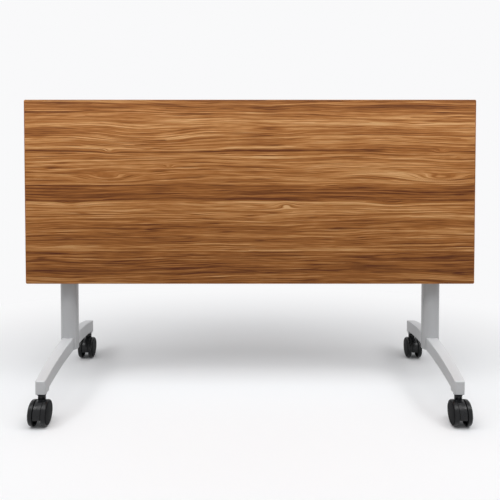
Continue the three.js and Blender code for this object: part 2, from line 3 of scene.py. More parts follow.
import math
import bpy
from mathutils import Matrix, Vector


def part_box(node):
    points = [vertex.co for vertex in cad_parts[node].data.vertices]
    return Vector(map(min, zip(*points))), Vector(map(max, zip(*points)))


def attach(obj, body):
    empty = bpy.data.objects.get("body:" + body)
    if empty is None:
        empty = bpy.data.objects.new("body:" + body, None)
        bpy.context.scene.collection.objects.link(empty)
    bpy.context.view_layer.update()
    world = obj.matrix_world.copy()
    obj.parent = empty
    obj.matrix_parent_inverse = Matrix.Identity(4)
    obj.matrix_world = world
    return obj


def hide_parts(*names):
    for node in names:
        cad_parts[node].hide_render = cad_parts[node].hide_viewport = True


bl_info = {
    "name": "Flip top training table",
    "version": (1, 0, 0),
    "blender": (4, 5, 0),
    "location": "View3D > Sidebar > Training table",
    "description": "Finished pieces, materials and studio for a flip top training table",
    "category": "Object",
}

import bmesh
import bpy
from bpy.props import FloatProperty, FloatVectorProperty, IntProperty, PointerProperty
from mathutils import Vector

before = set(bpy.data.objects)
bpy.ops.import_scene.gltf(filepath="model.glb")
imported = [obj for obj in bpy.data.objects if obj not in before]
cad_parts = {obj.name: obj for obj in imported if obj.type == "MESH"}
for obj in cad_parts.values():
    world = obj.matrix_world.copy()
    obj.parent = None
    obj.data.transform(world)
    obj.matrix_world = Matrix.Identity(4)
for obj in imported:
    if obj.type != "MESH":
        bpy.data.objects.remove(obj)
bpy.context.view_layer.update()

MM = 0.001
SIDES = ("left", "right")
ENDS = ("front", "rear")
CASTERS = tuple(f"{end}_{side}" for end in ENDS for side in SIDES)
SEAT_GAP = 0.3  # room between pieces that rest on or fill one another, mm
RUNNING_GAP = 0.4  # room all round a piece that turns in another, mm


def span(node):
    """Lowest and highest corner of a CAD node at rest, in millimetres."""
    low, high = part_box(node)
    return low / MM, high / MM


def middle(node):
    """Middle of a CAD node's box at rest, in millimetres."""
    low, high = span(node)
    return (low + high) / 2


# The flip axis, and the release bar beside it
PIVOT = middle("cross_tube")
BAR = middle("release_bar")
FLIP_AXIS = (0, PIVOT.y, PIVOT.z)
BAR_AXIS = (0, BAR.y, BAR.z)
BAR_ALONG = BAR.z - PIVOT.z  # back from the flip axis when the top is flat
BAR_RISE = PIVOT.y - BAR.y  # above the flip axis when the top is flat

# Sizes that several pieces share, in millimetres
COLUMN_RADIUS = 30.0
TUBE_RADIUS = 25.0
TUBE_WALL = 2.5  # of the columns and of the cross tube
HEAD_RADIUS = 36.3
EAR_RADIUS = 38.1
BUSH_RADIUS = 27.8
BAR_RADIUS = 7.0
FOOT_HALF_WIDTH = 20.0  # at the column
FOOT_BLOCK = 32.0  # length of the level underside at each end of a foot
FOOT_EASE = 4.0  # length over which the arch runs into that underside
SOCKET_RADIUS = 8.9
TIE_HEAD_RADIUS = 9.0
TIE_HEAD_HEIGHT = 8.0
TIE_RADIUS = 5.0
BEARER_TOP = 46.7  # of the web, above the flip axis when the top is flat
BEARER_HALF = 220.0  # half the length
BEARER_SHEET = 3.0
BOARD_RISE = 47.0  # underside of the flat board above the flip axis
BAR_BOSS = 13.4  # radius of a bearer's flange round the release bar
GUSSET = 9.0  # length over which an ear runs out into the flange
GUIDE_FLANGE = 4.0
SPRING_WIRE = 2.0

SHARP_ANGLE = math.radians(32)  # edges that turn more than this stay sharp in the shading


def leg_x(side):
    """Place of a leg's column axis along the table."""
    return middle(f"{side}_column").x


def inward(side):
    """Which way along X the middle of the table lies, seen from a leg."""
    return 1.0 if side == "left" else -1.0


def rest_place(along, rise):
    """Rest place (Y, Z) of a point given as for the flat top: back from the flip axis, and above it."""
    return (PIVOT.y - rise, PIVOT.z + along)


def linear(code):
    """A linear colour with alpha from an sRGB hex code."""
    channels = [int(code[i:i + 2], 16) / 255 for i in (1, 3, 5)]
    curve = [c / 12.92 if c <= 0.04045 else ((c + 0.055) / 1.055) ** 2.4 for c in channels]
    return (*curve, 1.0)


def length_setting(name, description, millimetres):
    """A length that can be changed in the sidebar."""
    return FloatProperty(name=name, description=description, default=millimetres * MM, unit="LENGTH")


def colour_setting(name, description, code):
    """A colour that can be changed in the sidebar, from its sRGB hex code."""
    return FloatVectorProperty(
        name=name, description=description, default=linear(code), subtype="COLOR", size=4
    )


class TableSizes(bpy.types.PropertyGroup):
    """Sizes of the finished pieces that the frame leaves open."""

    arris: length_setting("Edge band arris", "Radius on the long corners of the plastic edge band", 0.9)
    foot_edge: length_setting("Foot edge", "Radius on the upper edges of the cast feet", 2.6)
    foot_corner: length_setting("Foot corner", "Radius on the upright corners at the ends of the feet", 6.0)
    wheel_shoulder: length_setting(
        "Wheel shoulder", "Radius between a wheel's tread and its outer face", 6.5
    )
    hood_edge: length_setting("Hood edge", "Radius on the edges of the caster hoods", 1.6)
    grip_edge: length_setting("Grip edge", "Radius on the edges of the release grips", 2.4)
    bearer_bend: length_setting("Bearer bend", "Outside radius of the bends in the pressed bearers", 5.0)
    screw_head: length_setting(
        "Screw head", "Diameter of the pan heads that hold the bearers to the board", 9.0
    )
    screw_seed: IntProperty(
        name="Screw seed",
        description="Seed of the turn of each screw's cross slot",
        default=7,
    )


class TableColours(bpy.types.PropertyGroup):
    """Colours of the finishes."""

    walnut_dark: colour_setting("Walnut vein", "Darkest veins of the printed walnut", "#5f2e10")
    walnut_brown: colour_setting("Walnut heart", "Brown of the darker strips", "#875021")
    walnut_mid: colour_setting("Walnut", "Middle tone of the printed walnut", "#aa6b34")
    walnut_light: colour_setting("Walnut sap", "Light strips of the printed walnut", "#cd9258")
    silver: colour_setting(
        "Silver paint", "Powder coat on the columns, feet, heads and cross tube", "#cdced0"
    )
    black_plastic: colour_setting(
        "Black plastic", "Wheels, sockets, caps, grips and the guide of the release bar", "#131416"
    )
    hood_plastic: colour_setting("Hood plastic", "Caster hoods", "#151618")
    bearer_paint: colour_setting("Bearer paint", "Powder coat on the pressed bearers", "#2a2b2d")
    floor: colour_setting("Floor", "Pale studio floor", "#f4f5f7")


# Outlines and meshes


def rounded(corners, closed=True, steps=5):
    """An outline through corners (a, b) or (a, b, radius), with an arc at each that has a radius."""
    outline = []
    last = len(corners) - 1
    for index, corner in enumerate(corners):
        here = Vector(corner[:2])
        at_end = not closed and index in (0, last)
        if len(corner) < 3 or at_end:
            outline.append(tuple(here))
            continue
        back = (Vector(corners[index - 1][:2]) - here).normalized()
        ahead = (Vector(corners[(index + 1) % len(corners)][:2]) - here).normalized()
        half = back.angle(ahead) / 2
        centre = here + (back + ahead).normalized() * (corner[2] / math.sin(half))
        start = here + back * (corner[2] / math.tan(half)) - centre
        end = here + ahead * (corner[2] / math.tan(half)) - centre
        for step in range(steps + 1):
            outline.append(tuple(centre + start.slerp(end, step / steps) * corner[2]))
    return outline


def rectangle(low, high, radii):
    """A closed outline between two opposite corners (a, b), with a radius at each of its corners."""
    corners = (low, (high[0], low[1]), high, (low[0], high[1]))
    return rounded([(*corner, radius) for corner, radius in zip(corners, radii)])


def arc(centre, radius, start, end, steps):
    """Points on an arc about (a, b) between two angles in degrees."""
    points = []
    for step in range(steps + 1):
        angle = math.radians(start + (end - start) * step / steps)
        points.append((centre[0] + radius * math.cos(angle), centre[1] + radius * math.sin(angle)))
    return points


def placed(axis, across, up, along):
    """A point of a turned or extruded shape whose axis is the frame's X, Y or Z."""
    return {"X": (along, across, up), "Y": (up, along, across), "Z": (across, up, along)}[axis]


def mesh_of(points, faces):
    """A mesh in metres from points in millimetres, with its faces turned outwards."""
    build = bmesh.new()
    corners = [build.verts.new(Vector(point) * MM) for point in points]
    for face in faces:
        build.faces.new([corners[index] for index in face])
    bmesh.ops.recalc_face_normals(build, faces=build.faces)
    mesh = bpy.data.meshes.new("shape")
    build.to_mesh(mesh)
    build.free()
    return mesh


def lofted(sections, closed_sections=True, closed_ends=False, capped=False):
    """A skin from each section of points to the next; a section of one point is a pole.

    Closed ends join the last section to the first, and caps fill both of them.
    """
    points = []
    rings = []
    for section in sections:
        rings.append(range(len(points), len(points) + len(section)))
        points += section
    pairs = list(zip(rings, rings[1:]))
    if closed_ends:
        pairs.append((rings[-1], rings[0]))
    faces = []
    for one, two in pairs:
        count = max(len(one), len(two))
        for step in range(count if closed_sections else count - 1):
            after = (step + 1) % count
            near = (one[step % len(one)], one[after % len(one)])
            far = (two[after % len(two)], two[step % len(two)])
            face = list(dict.fromkeys(near + far))
            if len(face) > 2:
                faces.append(face)
    if capped:
        faces += [rings[0], rings[-1]]
    return mesh_of(points, faces)


def turned(corners, axis, centre=(0, 0, 0), segments=56):
    """Corners (radius, along) or (radius, along, edge radius) turned about an axis.

    They make a solid if they start on the axis, and a ring if they don't.
    """
    on_axis = 1e-6
    is_ring = corners[0][0] > on_axis
    sections = []
    for radius, along in rounded(corners, closed=is_ring):
        section = []
        for step in range(1 if radius < on_axis else segments):
            angle = 2 * math.pi * step / segments
            place = placed(axis, radius * math.cos(angle), radius * math.sin(angle), along)
            section.append(Vector(place) + Vector(centre))
        sections.append(section)
    return lofted(sections, closed_ends=is_ring)


def rod(axis, centre, radius, start, end, edge=0.0, segments=56):
    """A round bar between two places on its axis, with rounded rims if it has an edge radius."""
    rim = (edge,) if edge else ()
    corners = [(0, start), (radius, start, *rim), (radius, end, *rim), (0, end)]
    return turned(corners, axis, centre, segments)


def evaluated(holder):
    """The mesh of an object with its modifiers applied; the object itself is removed."""
    bpy.context.scene.collection.objects.link(holder)
    result = bpy.data.meshes.new_from_object(holder.evaluated_get(bpy.context.evaluated_depsgraph_get()))
    bpy.data.objects.remove(holder)
    return result


def applied(mesh, *steps):
    """A mesh with modifiers applied to it; each step is a modifier's kind and its settings."""
    holder = bpy.data.objects.new("work", mesh)
    for kind, settings in steps:
        modifier = holder.modifiers.new(kind.lower(), kind)
        for name, value in settings.items():
            setattr(modifier, name, value)
    return evaluated(holder)


def cleaned(mesh):
    """A mesh without the doubled points and faces of no area that joining and cutting leave behind."""
    build = bmesh.new()
    build.from_mesh(mesh)
    bmesh.ops.triangulate(build, faces=build.faces)
    bmesh.ops.remove_doubles(build, verts=build.verts, dist=0.01 * MM)
    bmesh.ops.dissolve_degenerate(build, dist=0.01 * MM, edges=build.edges)
    bmesh.ops.triangulate(build, faces=build.faces)
    build.to_mesh(mesh)
    build.free()
    return mesh


def combined(first, others=(), cutters=()):
    """One mesh joined with others and cut by cutters."""
    for operation, meshes in (("UNION", others), ("DIFFERENCE", cutters)):
        for mesh in meshes:
            tool = bpy.data.objects.new("tool", mesh)
            bpy.context.scene.collection.objects.link(tool)
            first = applied(
                first, ("BOOLEAN", {"operation": operation, "object": tool, "solver": "MANIFOLD"})
            )
            bpy.data.objects.remove(tool)
    return cleaned(first)


def plate(outlines, axis, near, far, edge):
    """A plate with rounded edges between two places on its axis, from closed outlines.

    The first outline is the outside and the rest are holes.
    """
    curve = bpy.data.curves.new("outline", "CURVE")
    curve.dimensions = "2D"
    curve.fill_mode = "BOTH"
    curve.extrude = (far - near) / 2 - edge
    curve.bevel_depth = edge
    curve.bevel_resolution = 2
    curve.offset = -edge
    for outline in outlines:
        spline = curve.splines.new("POLY")
        spline.points.add(len(outline) - 1)
        for point, (across, up) in zip(spline.points, outline):
            point.co = (across, up, 0, 1)
        spline.use_cyclic_u = True
    flat = evaluated(bpy.data.objects.new("outline", curve))
    bpy.data.curves.remove(curve)
    build = bmesh.new()
    build.from_mesh(flat)
    bmesh.ops.remove_doubles(build, verts=build.verts, dist=1e-4)
    for vertex in build.verts:
        across, up, depth = vertex.co
        vertex.co = Vector(placed(axis, across, up, depth + (near + far) / 2)) * MM
    bmesh.ops.recalc_face_normals(build, faces=build.faces)
    if build.calc_volume(signed=True) < 0:
        bmesh.ops.reverse_faces(build, faces=build.faces)
    build.to_mesh(flat)
    build.free()
    return flat


def wire(path, radius, sides):
    """A round wire along a path of points in millimetres, closed at both ends."""
    sections = []
    across = Vector((1, 0, 0))
    for index, here in enumerate(path):
        ahead = (path[min(index + 1, len(path) - 1)] - path[max(index - 1, 0)]).normalized()
        across = (across - ahead * across.dot(ahead)).normalized()
        third = ahead.cross(across)
        section = []
        for side in range(sides):
            angle = 2 * math.pi * side / sides
            section.append(here + across * (radius * math.cos(angle)) + third * (radius * math.sin(angle)))
        sections.append(section)
    return lofted(sections, capped=True)


def piece(name, mesh, finish, slot, body, *nodes):
    """Puts a mesh in the scene as a finished piece that rides on a body and stands for CAD nodes."""
    mesh.name = name
    mesh.materials.clear()
    mesh.materials.append(FINISHES[finish])
    mesh.shade_smooth()
    mesh.set_sharp_from_angle(angle=SHARP_ANGLE)
    made = bpy.data.objects.new(name, mesh)
    bpy.context.scene.collection.objects.link(made)
    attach(made, body)
    if nodes:
        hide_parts(*nodes)


# Materials

FINISHES = {}


def add(tree, kind, inputs=None, stops=None, **settings):
    """Adds a node with its settings and links; stops fill a colour ramp.

    An input that is a socket is linked, and one that is a node is linked from its first output.
    """
    node = tree.nodes.new(kind)
    for name, value in settings.items():
        setattr(node, name, value)
    for key, value in (inputs or {}).items():
        if isinstance(value, bpy.types.Node):
            value = value.outputs[0]
        if isinstance(value, bpy.types.NodeSocket):
            tree.links.new(value, node.inputs[key])
        else:
            node.inputs[key].default_value = value
    if stops:
        ramp = node.color_ramp
        while len(ramp.elements) < len(stops):
            ramp.elements.new(1.0)
        for element, (position, colour) in zip(ramp.elements, stops):
            element.position = position
            element.color = colour
    return node


def bare_finish(name, roughness, metallic=0.0, **sockets):
    """A new material with its tree, its shader and the piece's own coordinates."""
    made = bpy.data.materials.new(name)
    made.use_nodes = True
    tree = made.node_tree
    shader = tree.nodes["Principled BSDF"]
    shader.inputs["Roughness"].default_value = roughness
    shader.inputs["Metallic"].default_value = metallic
    for socket, value in sockets.items():
        shader.inputs[socket.replace("_", " ")].default_value = value
    FINISHES[name] = made
    return tree, shader, add(tree, "ShaderNodeTexCoord").outputs["Object"]


def grey(value):
    """A grey for a colour ramp that carries a number."""
    return (value, value, value, 1.0)


# Walnut print: heights above the lower edge of the upright board, mm, and tones from 0 dark to 1 light.
# The tone jumps at the two joints between printed strips.
WALNUT_STRIPS = (
    (0, 0.52),
    (30, 0.60),
    (36, 0.33),
    (70, 0.46),
    (106, 0.40),
    (107.5, 0.22),
    (109, 0.70),
    (124, 0.60),
    (144, 0.44),
    (165, 0.60),
    (195, 0.44),
    (225, 0.66),
    (274, 0.70),
    (281, 0.20),
    (288, 0.35),
    (331, 0.39),
    (332.5, 0.22),
    (334, 0.66),
    (380, 0.66),
    (440, 0.60),
    (447, 0.26),
    (454, 0.68),
    (505, 0.58),
    (538, 0.72),
    (575, 0.54),
    (590, 0.36),
    (604, 0.56),
)
WALNUT_JOINTS = (108, 333)

# Cathedral figures and knots, in millimetres: place along the board, place up it, half length, half height
# and lift of the grain
WALNUT_FIGURES = (
    (-470, 352, 120, 16, 20),
    (640, 352, 120, 16, 20),
    (-346, 475, 170, 38, 22),
    (120, 265, 30, 9, -12),
    (-467, 444, 22, 7, 9),
    (637, 444, 22, 7, 9),
    (-272, 392, 20, 6, 8),
    (-600, 268, 60, 9, 7),
    (480, 268, 60, 9, 7),
)


def make_walnut(colours):
    """Melamine film printed with walnut: long warm streaks, dark veins and fine fibres, satin on top."""
    tree, shader, place = bare_finish("walnut_laminate", 0.46, Specular_IOR_Level=0.25)
    low, high = span("edge_band")
    depth = high.z - low.z
    parts = add(tree, "ShaderNodeSeparateXYZ", {"Vector": place})
    along = add(tree, "ShaderNodeMath", {0: parts.outputs["X"], 1: 1 / MM}, operation="MULTIPLY")
    floor_up = add(tree, "ShaderNodeMath", {0: parts.outputs["Z"], 1: 1 / MM}, operation="MULTIPLY")
    up = add(tree, "ShaderNodeMath", {0: floor_up, 1: low.z}, operation="SUBTRACT")

    # The grain sways, but not at the straight joints between the strips
    share = add(tree, "ShaderNodeMath", {0: up, 1: depth}, operation="DIVIDE")
    calm = [(0.0, grey(1))]
    calm_start, calm_full = 24, 1  # mm from a joint
    for joint in WALNUT_JOINTS:
        for offset, value in ((-calm_start, 1), (-calm_full, 0), (calm_full, 0), (calm_start, 1)):
            calm.append(((joint + offset) / depth, grey(value)))
    swing = add(tree, "ShaderNodeValToRGB", {"Fac": share}, stops=calm)
    slow_place = add(tree, "ShaderNodeCombineXYZ", {"X": along, "Y": up})
    sway_length, sway_height, sway_lift = 520, 130, 38
    sway_size = (1 / sway_length, 1 / sway_height, 1)
    slow_scale = add(tree, "ShaderNodeVectorMath", {0: slow_place, 1: sway_size}, operation="MULTIPLY")
    slow = add(
        tree, "ShaderNodeTexNoise", {"Vector": slow_scale, "Scale": 1.0, "Detail": 2.0, "Roughness": 0.5}
    )
    centred = add(tree, "ShaderNodeMath", {0: slow, 1: 0.5}, operation="SUBTRACT")
    sway = add(tree, "ShaderNodeMath", {0: centred, 1: sway_lift}, operation="MULTIPLY")
    sway = add(tree, "ShaderNodeMath", {0: sway, 1: swing}, operation="MULTIPLY")
    grain = add(tree, "ShaderNodeMath", {0: up, 1: sway}, operation="ADD")
    figure = 0.0
    large_lift = 15
    for x, z, half_length, half_height, lift in WALNUT_FIGURES:
        offset = add(tree, "ShaderNodeVectorMath", {0: slow_place, 1: (x, z, 0)}, operation="SUBTRACT")
        size = (1 / half_length, 1 / half_height, 0)
        scaled = add(tree, "ShaderNodeVectorMath", {0: offset, 1: size}, operation="MULTIPLY")
        square = add(
            tree, "ShaderNodeVectorMath", {0: scaled, 1: scaled}, operation="DOT_PRODUCT"
        ).outputs["Value"]
        fall = add(tree, "ShaderNodeMath", {0: square, 1: -1.0}, operation="MULTIPLY")
        bell = add(tree, "ShaderNodeMath", {0: fall}, operation="EXPONENT")
        grain = add(tree, "ShaderNodeMath", {0: bell, 1: lift, 2: grain}, operation="MULTIPLY_ADD")
        if lift > large_lift:
            figure = add(tree, "ShaderNodeMath", {0: bell, 1: figure}, operation="ADD")

    # Tone of the strips, then streaks from broad to fine, each many times as long as it is wide
    grain_share = add(tree, "ShaderNodeMath", {0: grain, 1: depth}, operation="DIVIDE")
    strips = [(height / depth, grey(tone)) for height, tone in WALNUT_STRIPS]
    tone = add(tree, "ShaderNodeValToRGB", {"Fac": grain_share}, stops=strips)
    strip_along = along
    print_shift = 1730.0  # each strip shows another length of the print
    for joint in WALNUT_JOINTS:
        above = add(tree, "ShaderNodeMath", {0: up, 1: joint}, operation="GREATER_THAN")
        strip_along = add(
            tree, "ShaderNodeMath", {0: above, 1: print_shift, 2: strip_along}, operation="MULTIPLY_ADD"
        )
    grain_place = add(tree, "ShaderNodeCombineXYZ", {"X": strip_along, "Y": grain})
    # Fibres are drawn wider than the real ones so that they still show
    streaks = {}
    for name, length, width, detail in (
        ("band", 900, 24, 1.0),
        ("streak", 520, 6.5, 1.0),
        ("line", 240, 3.6, 1.0),
        ("fibre", 70, 1.9, 2.0),
        ("vein", 700, 13, 1.0),
    ):
        size = (1 / length, 1 / width, 1)
        scaled = add(tree, "ShaderNodeVectorMath", {0: grain_place, 1: size}, operation="MULTIPLY")
        streaks[name] = add(
            tree, "ShaderNodeTexNoise", {"Vector": scaled, "Scale": 1.0, "Detail": detail, "Roughness": 0.6}
        )
    for name, weight in (("band", 0.5), ("streak", 0.85), ("line", 1.0), ("fibre", 0.95)):
        shifted = add(tree, "ShaderNodeMath", {0: streaks[name], 1: 0.5}, operation="SUBTRACT")
        tone = add(tree, "ShaderNodeMath", {0: shifted, 1: weight, 2: tone}, operation="MULTIPLY_ADD")

    # Growth rings: each lightens slowly across the grain and then drops to dark
    ring_width, ring_waver = 9, 5.0
    figure_strength = 0.3
    rings = add(tree, "ShaderNodeMath", {0: grain, 1: ring_width}, operation="DIVIDE")
    rings = add(
        tree, "ShaderNodeMath", {0: streaks["vein"], 1: ring_waver, 2: rings}, operation="MULTIPLY_ADD"
    )
    rings = add(tree, "ShaderNodeMath", {0: rings}, operation="FRACT")
    rings = add(tree, "ShaderNodeMath", {0: rings, 1: 0.5}, operation="SUBTRACT")
    strength = add(
        tree,
        "ShaderNodeMapRange",
        {"Value": streaks["band"], "From Min": 0.35, "From Max": 0.65, "To Min": 0.06, "To Max": 0.28},
    )
    strength = add(
        tree, "ShaderNodeMath", {0: figure, 1: figure_strength, 2: strength}, operation="MULTIPLY_ADD"
    )
    tone = add(tree, "ShaderNodeMath", {0: rings, 1: strength, 2: tone}, operation="MULTIPLY_ADD")

    # Thin dark veins where a long slow streak crosses its middle value
    ridge = add(tree, "ShaderNodeMath", {0: streaks["vein"], 1: 0.5}, operation="SUBTRACT")
    ridge = add(tree, "ShaderNodeMath", {0: ridge}, operation="ABSOLUTE")
    vein = add(
        tree,
        "ShaderNodeMapRange",
        {"Value": ridge, "From Min": 0.0, "From Max": 0.028, "To Min": 0.30, "To Max": 0.0},
        interpolation_type="SMOOTHSTEP",
    )
    tone = add(tree, "ShaderNodeMath", {0: tone, 1: vein}, operation="SUBTRACT")
    brown = add(
        tree,
        "ShaderNodeValToRGB",
        {"Fac": tone},
        stops=[
            (0.05, colours.walnut_dark),
            (0.28, colours.walnut_brown),
            (0.52, colours.walnut_mid),
            (0.80, colours.walnut_light),
            (1.0, linear("#e5b37c")),
        ],
    )
    tree.links.new(brown.outputs[0], shader.inputs["Base Color"])
    bump = add(tree, "ShaderNodeBump", {"Height": streaks["fibre"], "Strength": 0.12, "Distance": 0.2 * MM})
    tree.links.new(bump.outputs[0], shader.inputs["Normal"])


def make_edge_banding(colours):
    """ABS edging printed to match the face: a little darker, with short streaks along it."""
    tree, shader, place = bare_finish("walnut_edging", 0.42)
    streak_size = (120, 4, 30)
    size = [1 / (length * MM) for length in streak_size]
    scaled = add(tree, "ShaderNodeVectorMath", {0: place, 1: size}, operation="MULTIPLY")
    streak = add(
        tree, "ShaderNodeTexNoise", {"Vector": scaled, "Scale": 1.0, "Detail": 3.0, "Roughness": 0.6}
    )
    brown = add(
        tree,
        "ShaderNodeValToRGB",
        {"Fac": streak},
        stops=[(0.3, colours.walnut_brown), (0.5, colours.walnut_mid), (0.72, colours.walnut_light)],
    )
    tree.links.new(brown.outputs[0], shader.inputs["Base Color"])


def make_silver(colours):
    """Silver powder coat with a faint orange peel, glossier on the tubes than on the castings. The one
    paint is painted darker on the tubes as painted shade, and lighter on the castings as painted light.
    """
    flake_size = 1.1
    # The last number scales the silver: 0.95 on the tubes is painted shade, and 1.03 on the castings is
    # painted light.
    for name, peel, metallic, roughness, shade in (
        ("silver_powder_coat", 2.6, 0.08, 0.27, 0.95),
        ("silver_casting_coat", 3.4, 0.1, 0.40, 1.03),
    ):
        tree, shader, place = bare_finish(name, roughness, metallic=metallic)
        # Peel and flakes are drawn coarser than the real ones so that they still show
        peel_noise = add(
            tree, "ShaderNodeTexNoise", {"Vector": place, "Scale": 1 / (peel * MM), "Detail": 2.0}
        )
        flake = add(tree, "ShaderNodeTexVoronoi", {"Vector": place, "Scale": 1 / (flake_size * MM)})
        tint = add(
            tree,
            "ShaderNodeMapRange",
            {"Value": flake, "From Max": 0.9, "To Min": 1.02 * shade, "To Max": 0.98 * shade},
        )
        silver = add(
            tree, "ShaderNodeVectorMath", {0: colours.silver[:3], "Scale": tint}, operation="SCALE"
        )
        tree.links.new(silver.outputs[0], shader.inputs["Base Color"])
        bump = add(tree, "ShaderNodeBump", {"Height": peel_noise, "Strength": 0.05, "Distance": 0.15 * MM})
        tree.links.new(bump.outputs[0], shader.inputs["Normal"])


def mottle(tree, shader, noise, colour, tints, roughnesses):
    """Lets a noise vary the tint of a colour and the roughness of a finish, each between two bounds."""
    usual = {"Value": noise, "From Min": 0.3, "From Max": 0.7}
    tint = add(tree, "ShaderNodeMapRange", {**usual, "To Min": tints[0], "To Max": tints[1]})
    shade = add(tree, "ShaderNodeVectorMath", {0: colour[:3], "Scale": tint}, operation="SCALE")
    tree.links.new(shade.outputs[0], shader.inputs["Base Color"])
    gloss = add(tree, "ShaderNodeMapRange", {**usual, "To Min": roughnesses[0], "To Max": roughnesses[1]})
    tree.links.new(gloss.outputs[0], shader.inputs["Roughness"])


def make_moulded(name, colour, roughness, grit, gleam):
    """A moulded polymer or paint: a skin with fine grain, rubbed smoother in patches."""
    tree, shader, place = bare_finish(name, roughness, Specular_IOR_Level=gleam)
    patch_size, rubbed = 35, 0.05
    # The grain is drawn coarser than the real one so that it still shows
    grain = add(
        tree,
        "ShaderNodeTexNoise",
        {"Vector": place, "Scale": 1 / (grit * MM), "Detail": 3.0, "Roughness": 0.6},
    )
    patch = add(
        tree, "ShaderNodeTexNoise", {"Vector": place, "Scale": 1 / (patch_size * MM), "Detail": 2.0}
    )
    tints = (0.92, 1.08)
    mottle(tree, shader, patch, colour, tints, (roughness - rubbed, roughness + rubbed))
    bump = add(tree, "ShaderNodeBump", {"Height": grain, "Strength": 0.15, "Distance": 0.1 * MM})
    tree.links.new(bump.outputs[0], shader.inputs["Normal"])


def make_steel(name, code, roughness, spangle):
    """Plated or drawn steel: bright, with soft spangle or draw marks that vary its gloss."""
    tree, shader, place = bare_finish(name, roughness, metallic=1.0)
    cloud = add(
        tree,
        "ShaderNodeTexNoise",
        {"Vector": place, "Scale": 1 / (spangle * MM), "Detail": 3.0, "Roughness": 0.55},
    )
    tints = (0.88, 1.06)
    mottle(tree, shader, cloud, linear(code), tints, (roughness - 0.06, roughness + 0.08))


class MakeFinishes(bpy.types.Operator):
    """Materials of the table, made before its pieces"""

    bl_idname = "training_table.finishes"
    bl_label = "Finishes"

    def execute(self, context):
        colours = context.scene.table_colours
        make_walnut(colours)
        make_edge_banding(colours)
        make_silver(colours)
        # Plain black mouldings, nearly matt
        make_moulded("black_moulded_plastic", colours.black_plastic, roughness=0.36, grit=0.9, gleam=0.06)
        # Nylon wheels: the floor rubs the treads glossy, and the discs stay matt
        make_moulded("black_nylon_tread", colours.black_plastic, roughness=0.22, grit=0.9, gleam=0.28)
        make_moulded("black_nylon_disc", colours.black_plastic, roughness=0.36, grit=0.9, gleam=0.012)
        # Smooth hoods that show a soft gleam of the lamps
        make_moulded("hood_moulded_plastic", colours.hood_plastic, roughness=0.24, grit=0.9, gleam=0.3)
        # Satin dark paint, pale waxy nylon and dull rubber
        make_moulded("black_powder_coat", colours.bearer_paint, roughness=0.50, grit=1.4, gleam=0.4)
        make_moulded("white_nylon", linear("#dcdbd3"), roughness=0.45, grit=1.2, gleam=0.5)
        make_moulded("black_rubber", linear("#181818"), roughness=0.78, grit=0.7, gleam=0.3)
        # Bright zinc with broad spangle, and darker drawn wire
        make_steel("bright_zinc_plate", "#b4b8ba", roughness=0.30, spangle=7.0)
        make_steel("spring_steel", "#8c8f93", roughness=0.28, spangle=3.0)
        return {"FINISHED"}


# Pieces


class MakeTop(bpy.types.Operator):
    """Walnut faced board and its plastic edge band"""

    bl_idname = "training_table.top"
    bl_label = "Board and edge band"

    def execute(self, context):
        arris = context.scene.table_sizes.arris / MM
        low, high = span("edge_band")
        band = 2.0
        corner = 5.0

        def frame_outline(inset, radius):
            west, east = low.x + inset, high.x - inset
            bottom, top = low.z + inset, high.z - inset
            return rounded([
                (bottom, west, radius),
                (bottom, east, radius),
                (top, east, radius),
                (top, west, radius),
            ])

        board_inset = band + SEAT_GAP
        board = plate([frame_outline(board_inset, corner - board_inset)], "Y", low.y, high.y, edge=0.25)
        piece("board", board, "walnut_laminate", "walnut_board", "top", "top_board")
        outlines = [frame_outline(0, corner), frame_outline(band, corner - band)]
        edging = plate(outlines, "Y", low.y, high.y, arris)
        piece("edging", edging, "walnut_edging", "walnut_edge", "top", "edge_band")
        return {"FINISHED"}


def foot_arcs():
    """Upper and lower arcs of a foot as functions of Y, with the foot's front and rear."""
    low, high = span("left_foot")
    crown_top, crown_bottom = 161.0, 118.0
    end_top, end_bottom = 130.0, low.z
    drop = 8.0  # from the ends of the arch to the level underside
    centre = (low.y + high.y) / 2
    half = (high.y - low.y) / 2

    def bow(y, half_chord, rise, top):
        radius = (half_chord ** 2 + rise ** 2) / (2 * rise)
        return top - radius + math.sqrt(radius ** 2 - (y - centre) ** 2)

    def over(y):
        return bow(y, half, crown_top - end_top, crown_top)

    def under(y):
        reach = abs(y - centre)
        inner = half - FOOT_BLOCK
        arch = end_bottom
        if reach < inner:
            arch = bow(y, inner, crown_bottom - end_bottom - drop, crown_bottom)
        step = min(max((reach - inner + FOOT_EASE) / FOOT_EASE, 0.0), 1.0)
        ease = step * step * (3 - 2 * step)
        return arch + (end_bottom - arch) * ease

    return over, under, low.y, high.y


def foot_mesh(x, column_y, edge, corner):
    """Arched foot: sections along Y, narrower and rounded off towards its two ends."""
    over, under, front, rear = foot_arcs()
    end_half_width = 15.5
    lower_edge = 1.6
    offsets = [corner * (1 - math.cos(math.radians(angle))) for angle in range(0, 91, 15)]
    offsets += [FOOT_BLOCK - FOOT_EASE + step for step in range(-1, 6)]
    stations = [front + offset for offset in offsets]
    stations += [rear - offset for offset in offsets]
    count = 44
    start, stop = front + FOOT_BLOCK + FOOT_EASE, rear - FOOT_BLOCK - FOOT_EASE
    stations += [start + (stop - start) * step / count for step in range(count + 1)]
    stations = sorted(set(round(y, 4) for y in stations))
    sections = []
    for y in stations:
        near_end = min(y - front, rear - y)
        end = front if y < column_y else rear
        reach = (column_y - y) / (column_y - end)
        half = FOOT_HALF_WIDTH + (end_half_width - FOOT_HALF_WIDTH) * reach
        if near_end < corner:
            half -= corner - math.sqrt(max(corner ** 2 - (corner - near_end) ** 2, 0))
        top, bottom = over(y), under(y)
        if near_end < edge:
            fall = edge - math.sqrt(max(edge ** 2 - (edge - near_end) ** 2, 0))
            top -= fall
            bottom += fall * lower_edge / edge
        radii = (lower_edge, lower_edge, edge, edge)
        outline = rectangle((x - half, bottom), (x + half, top), radii)
        sections.append([(across, y, up) for across, up in outline])
    return lofted(sections, capped=True)


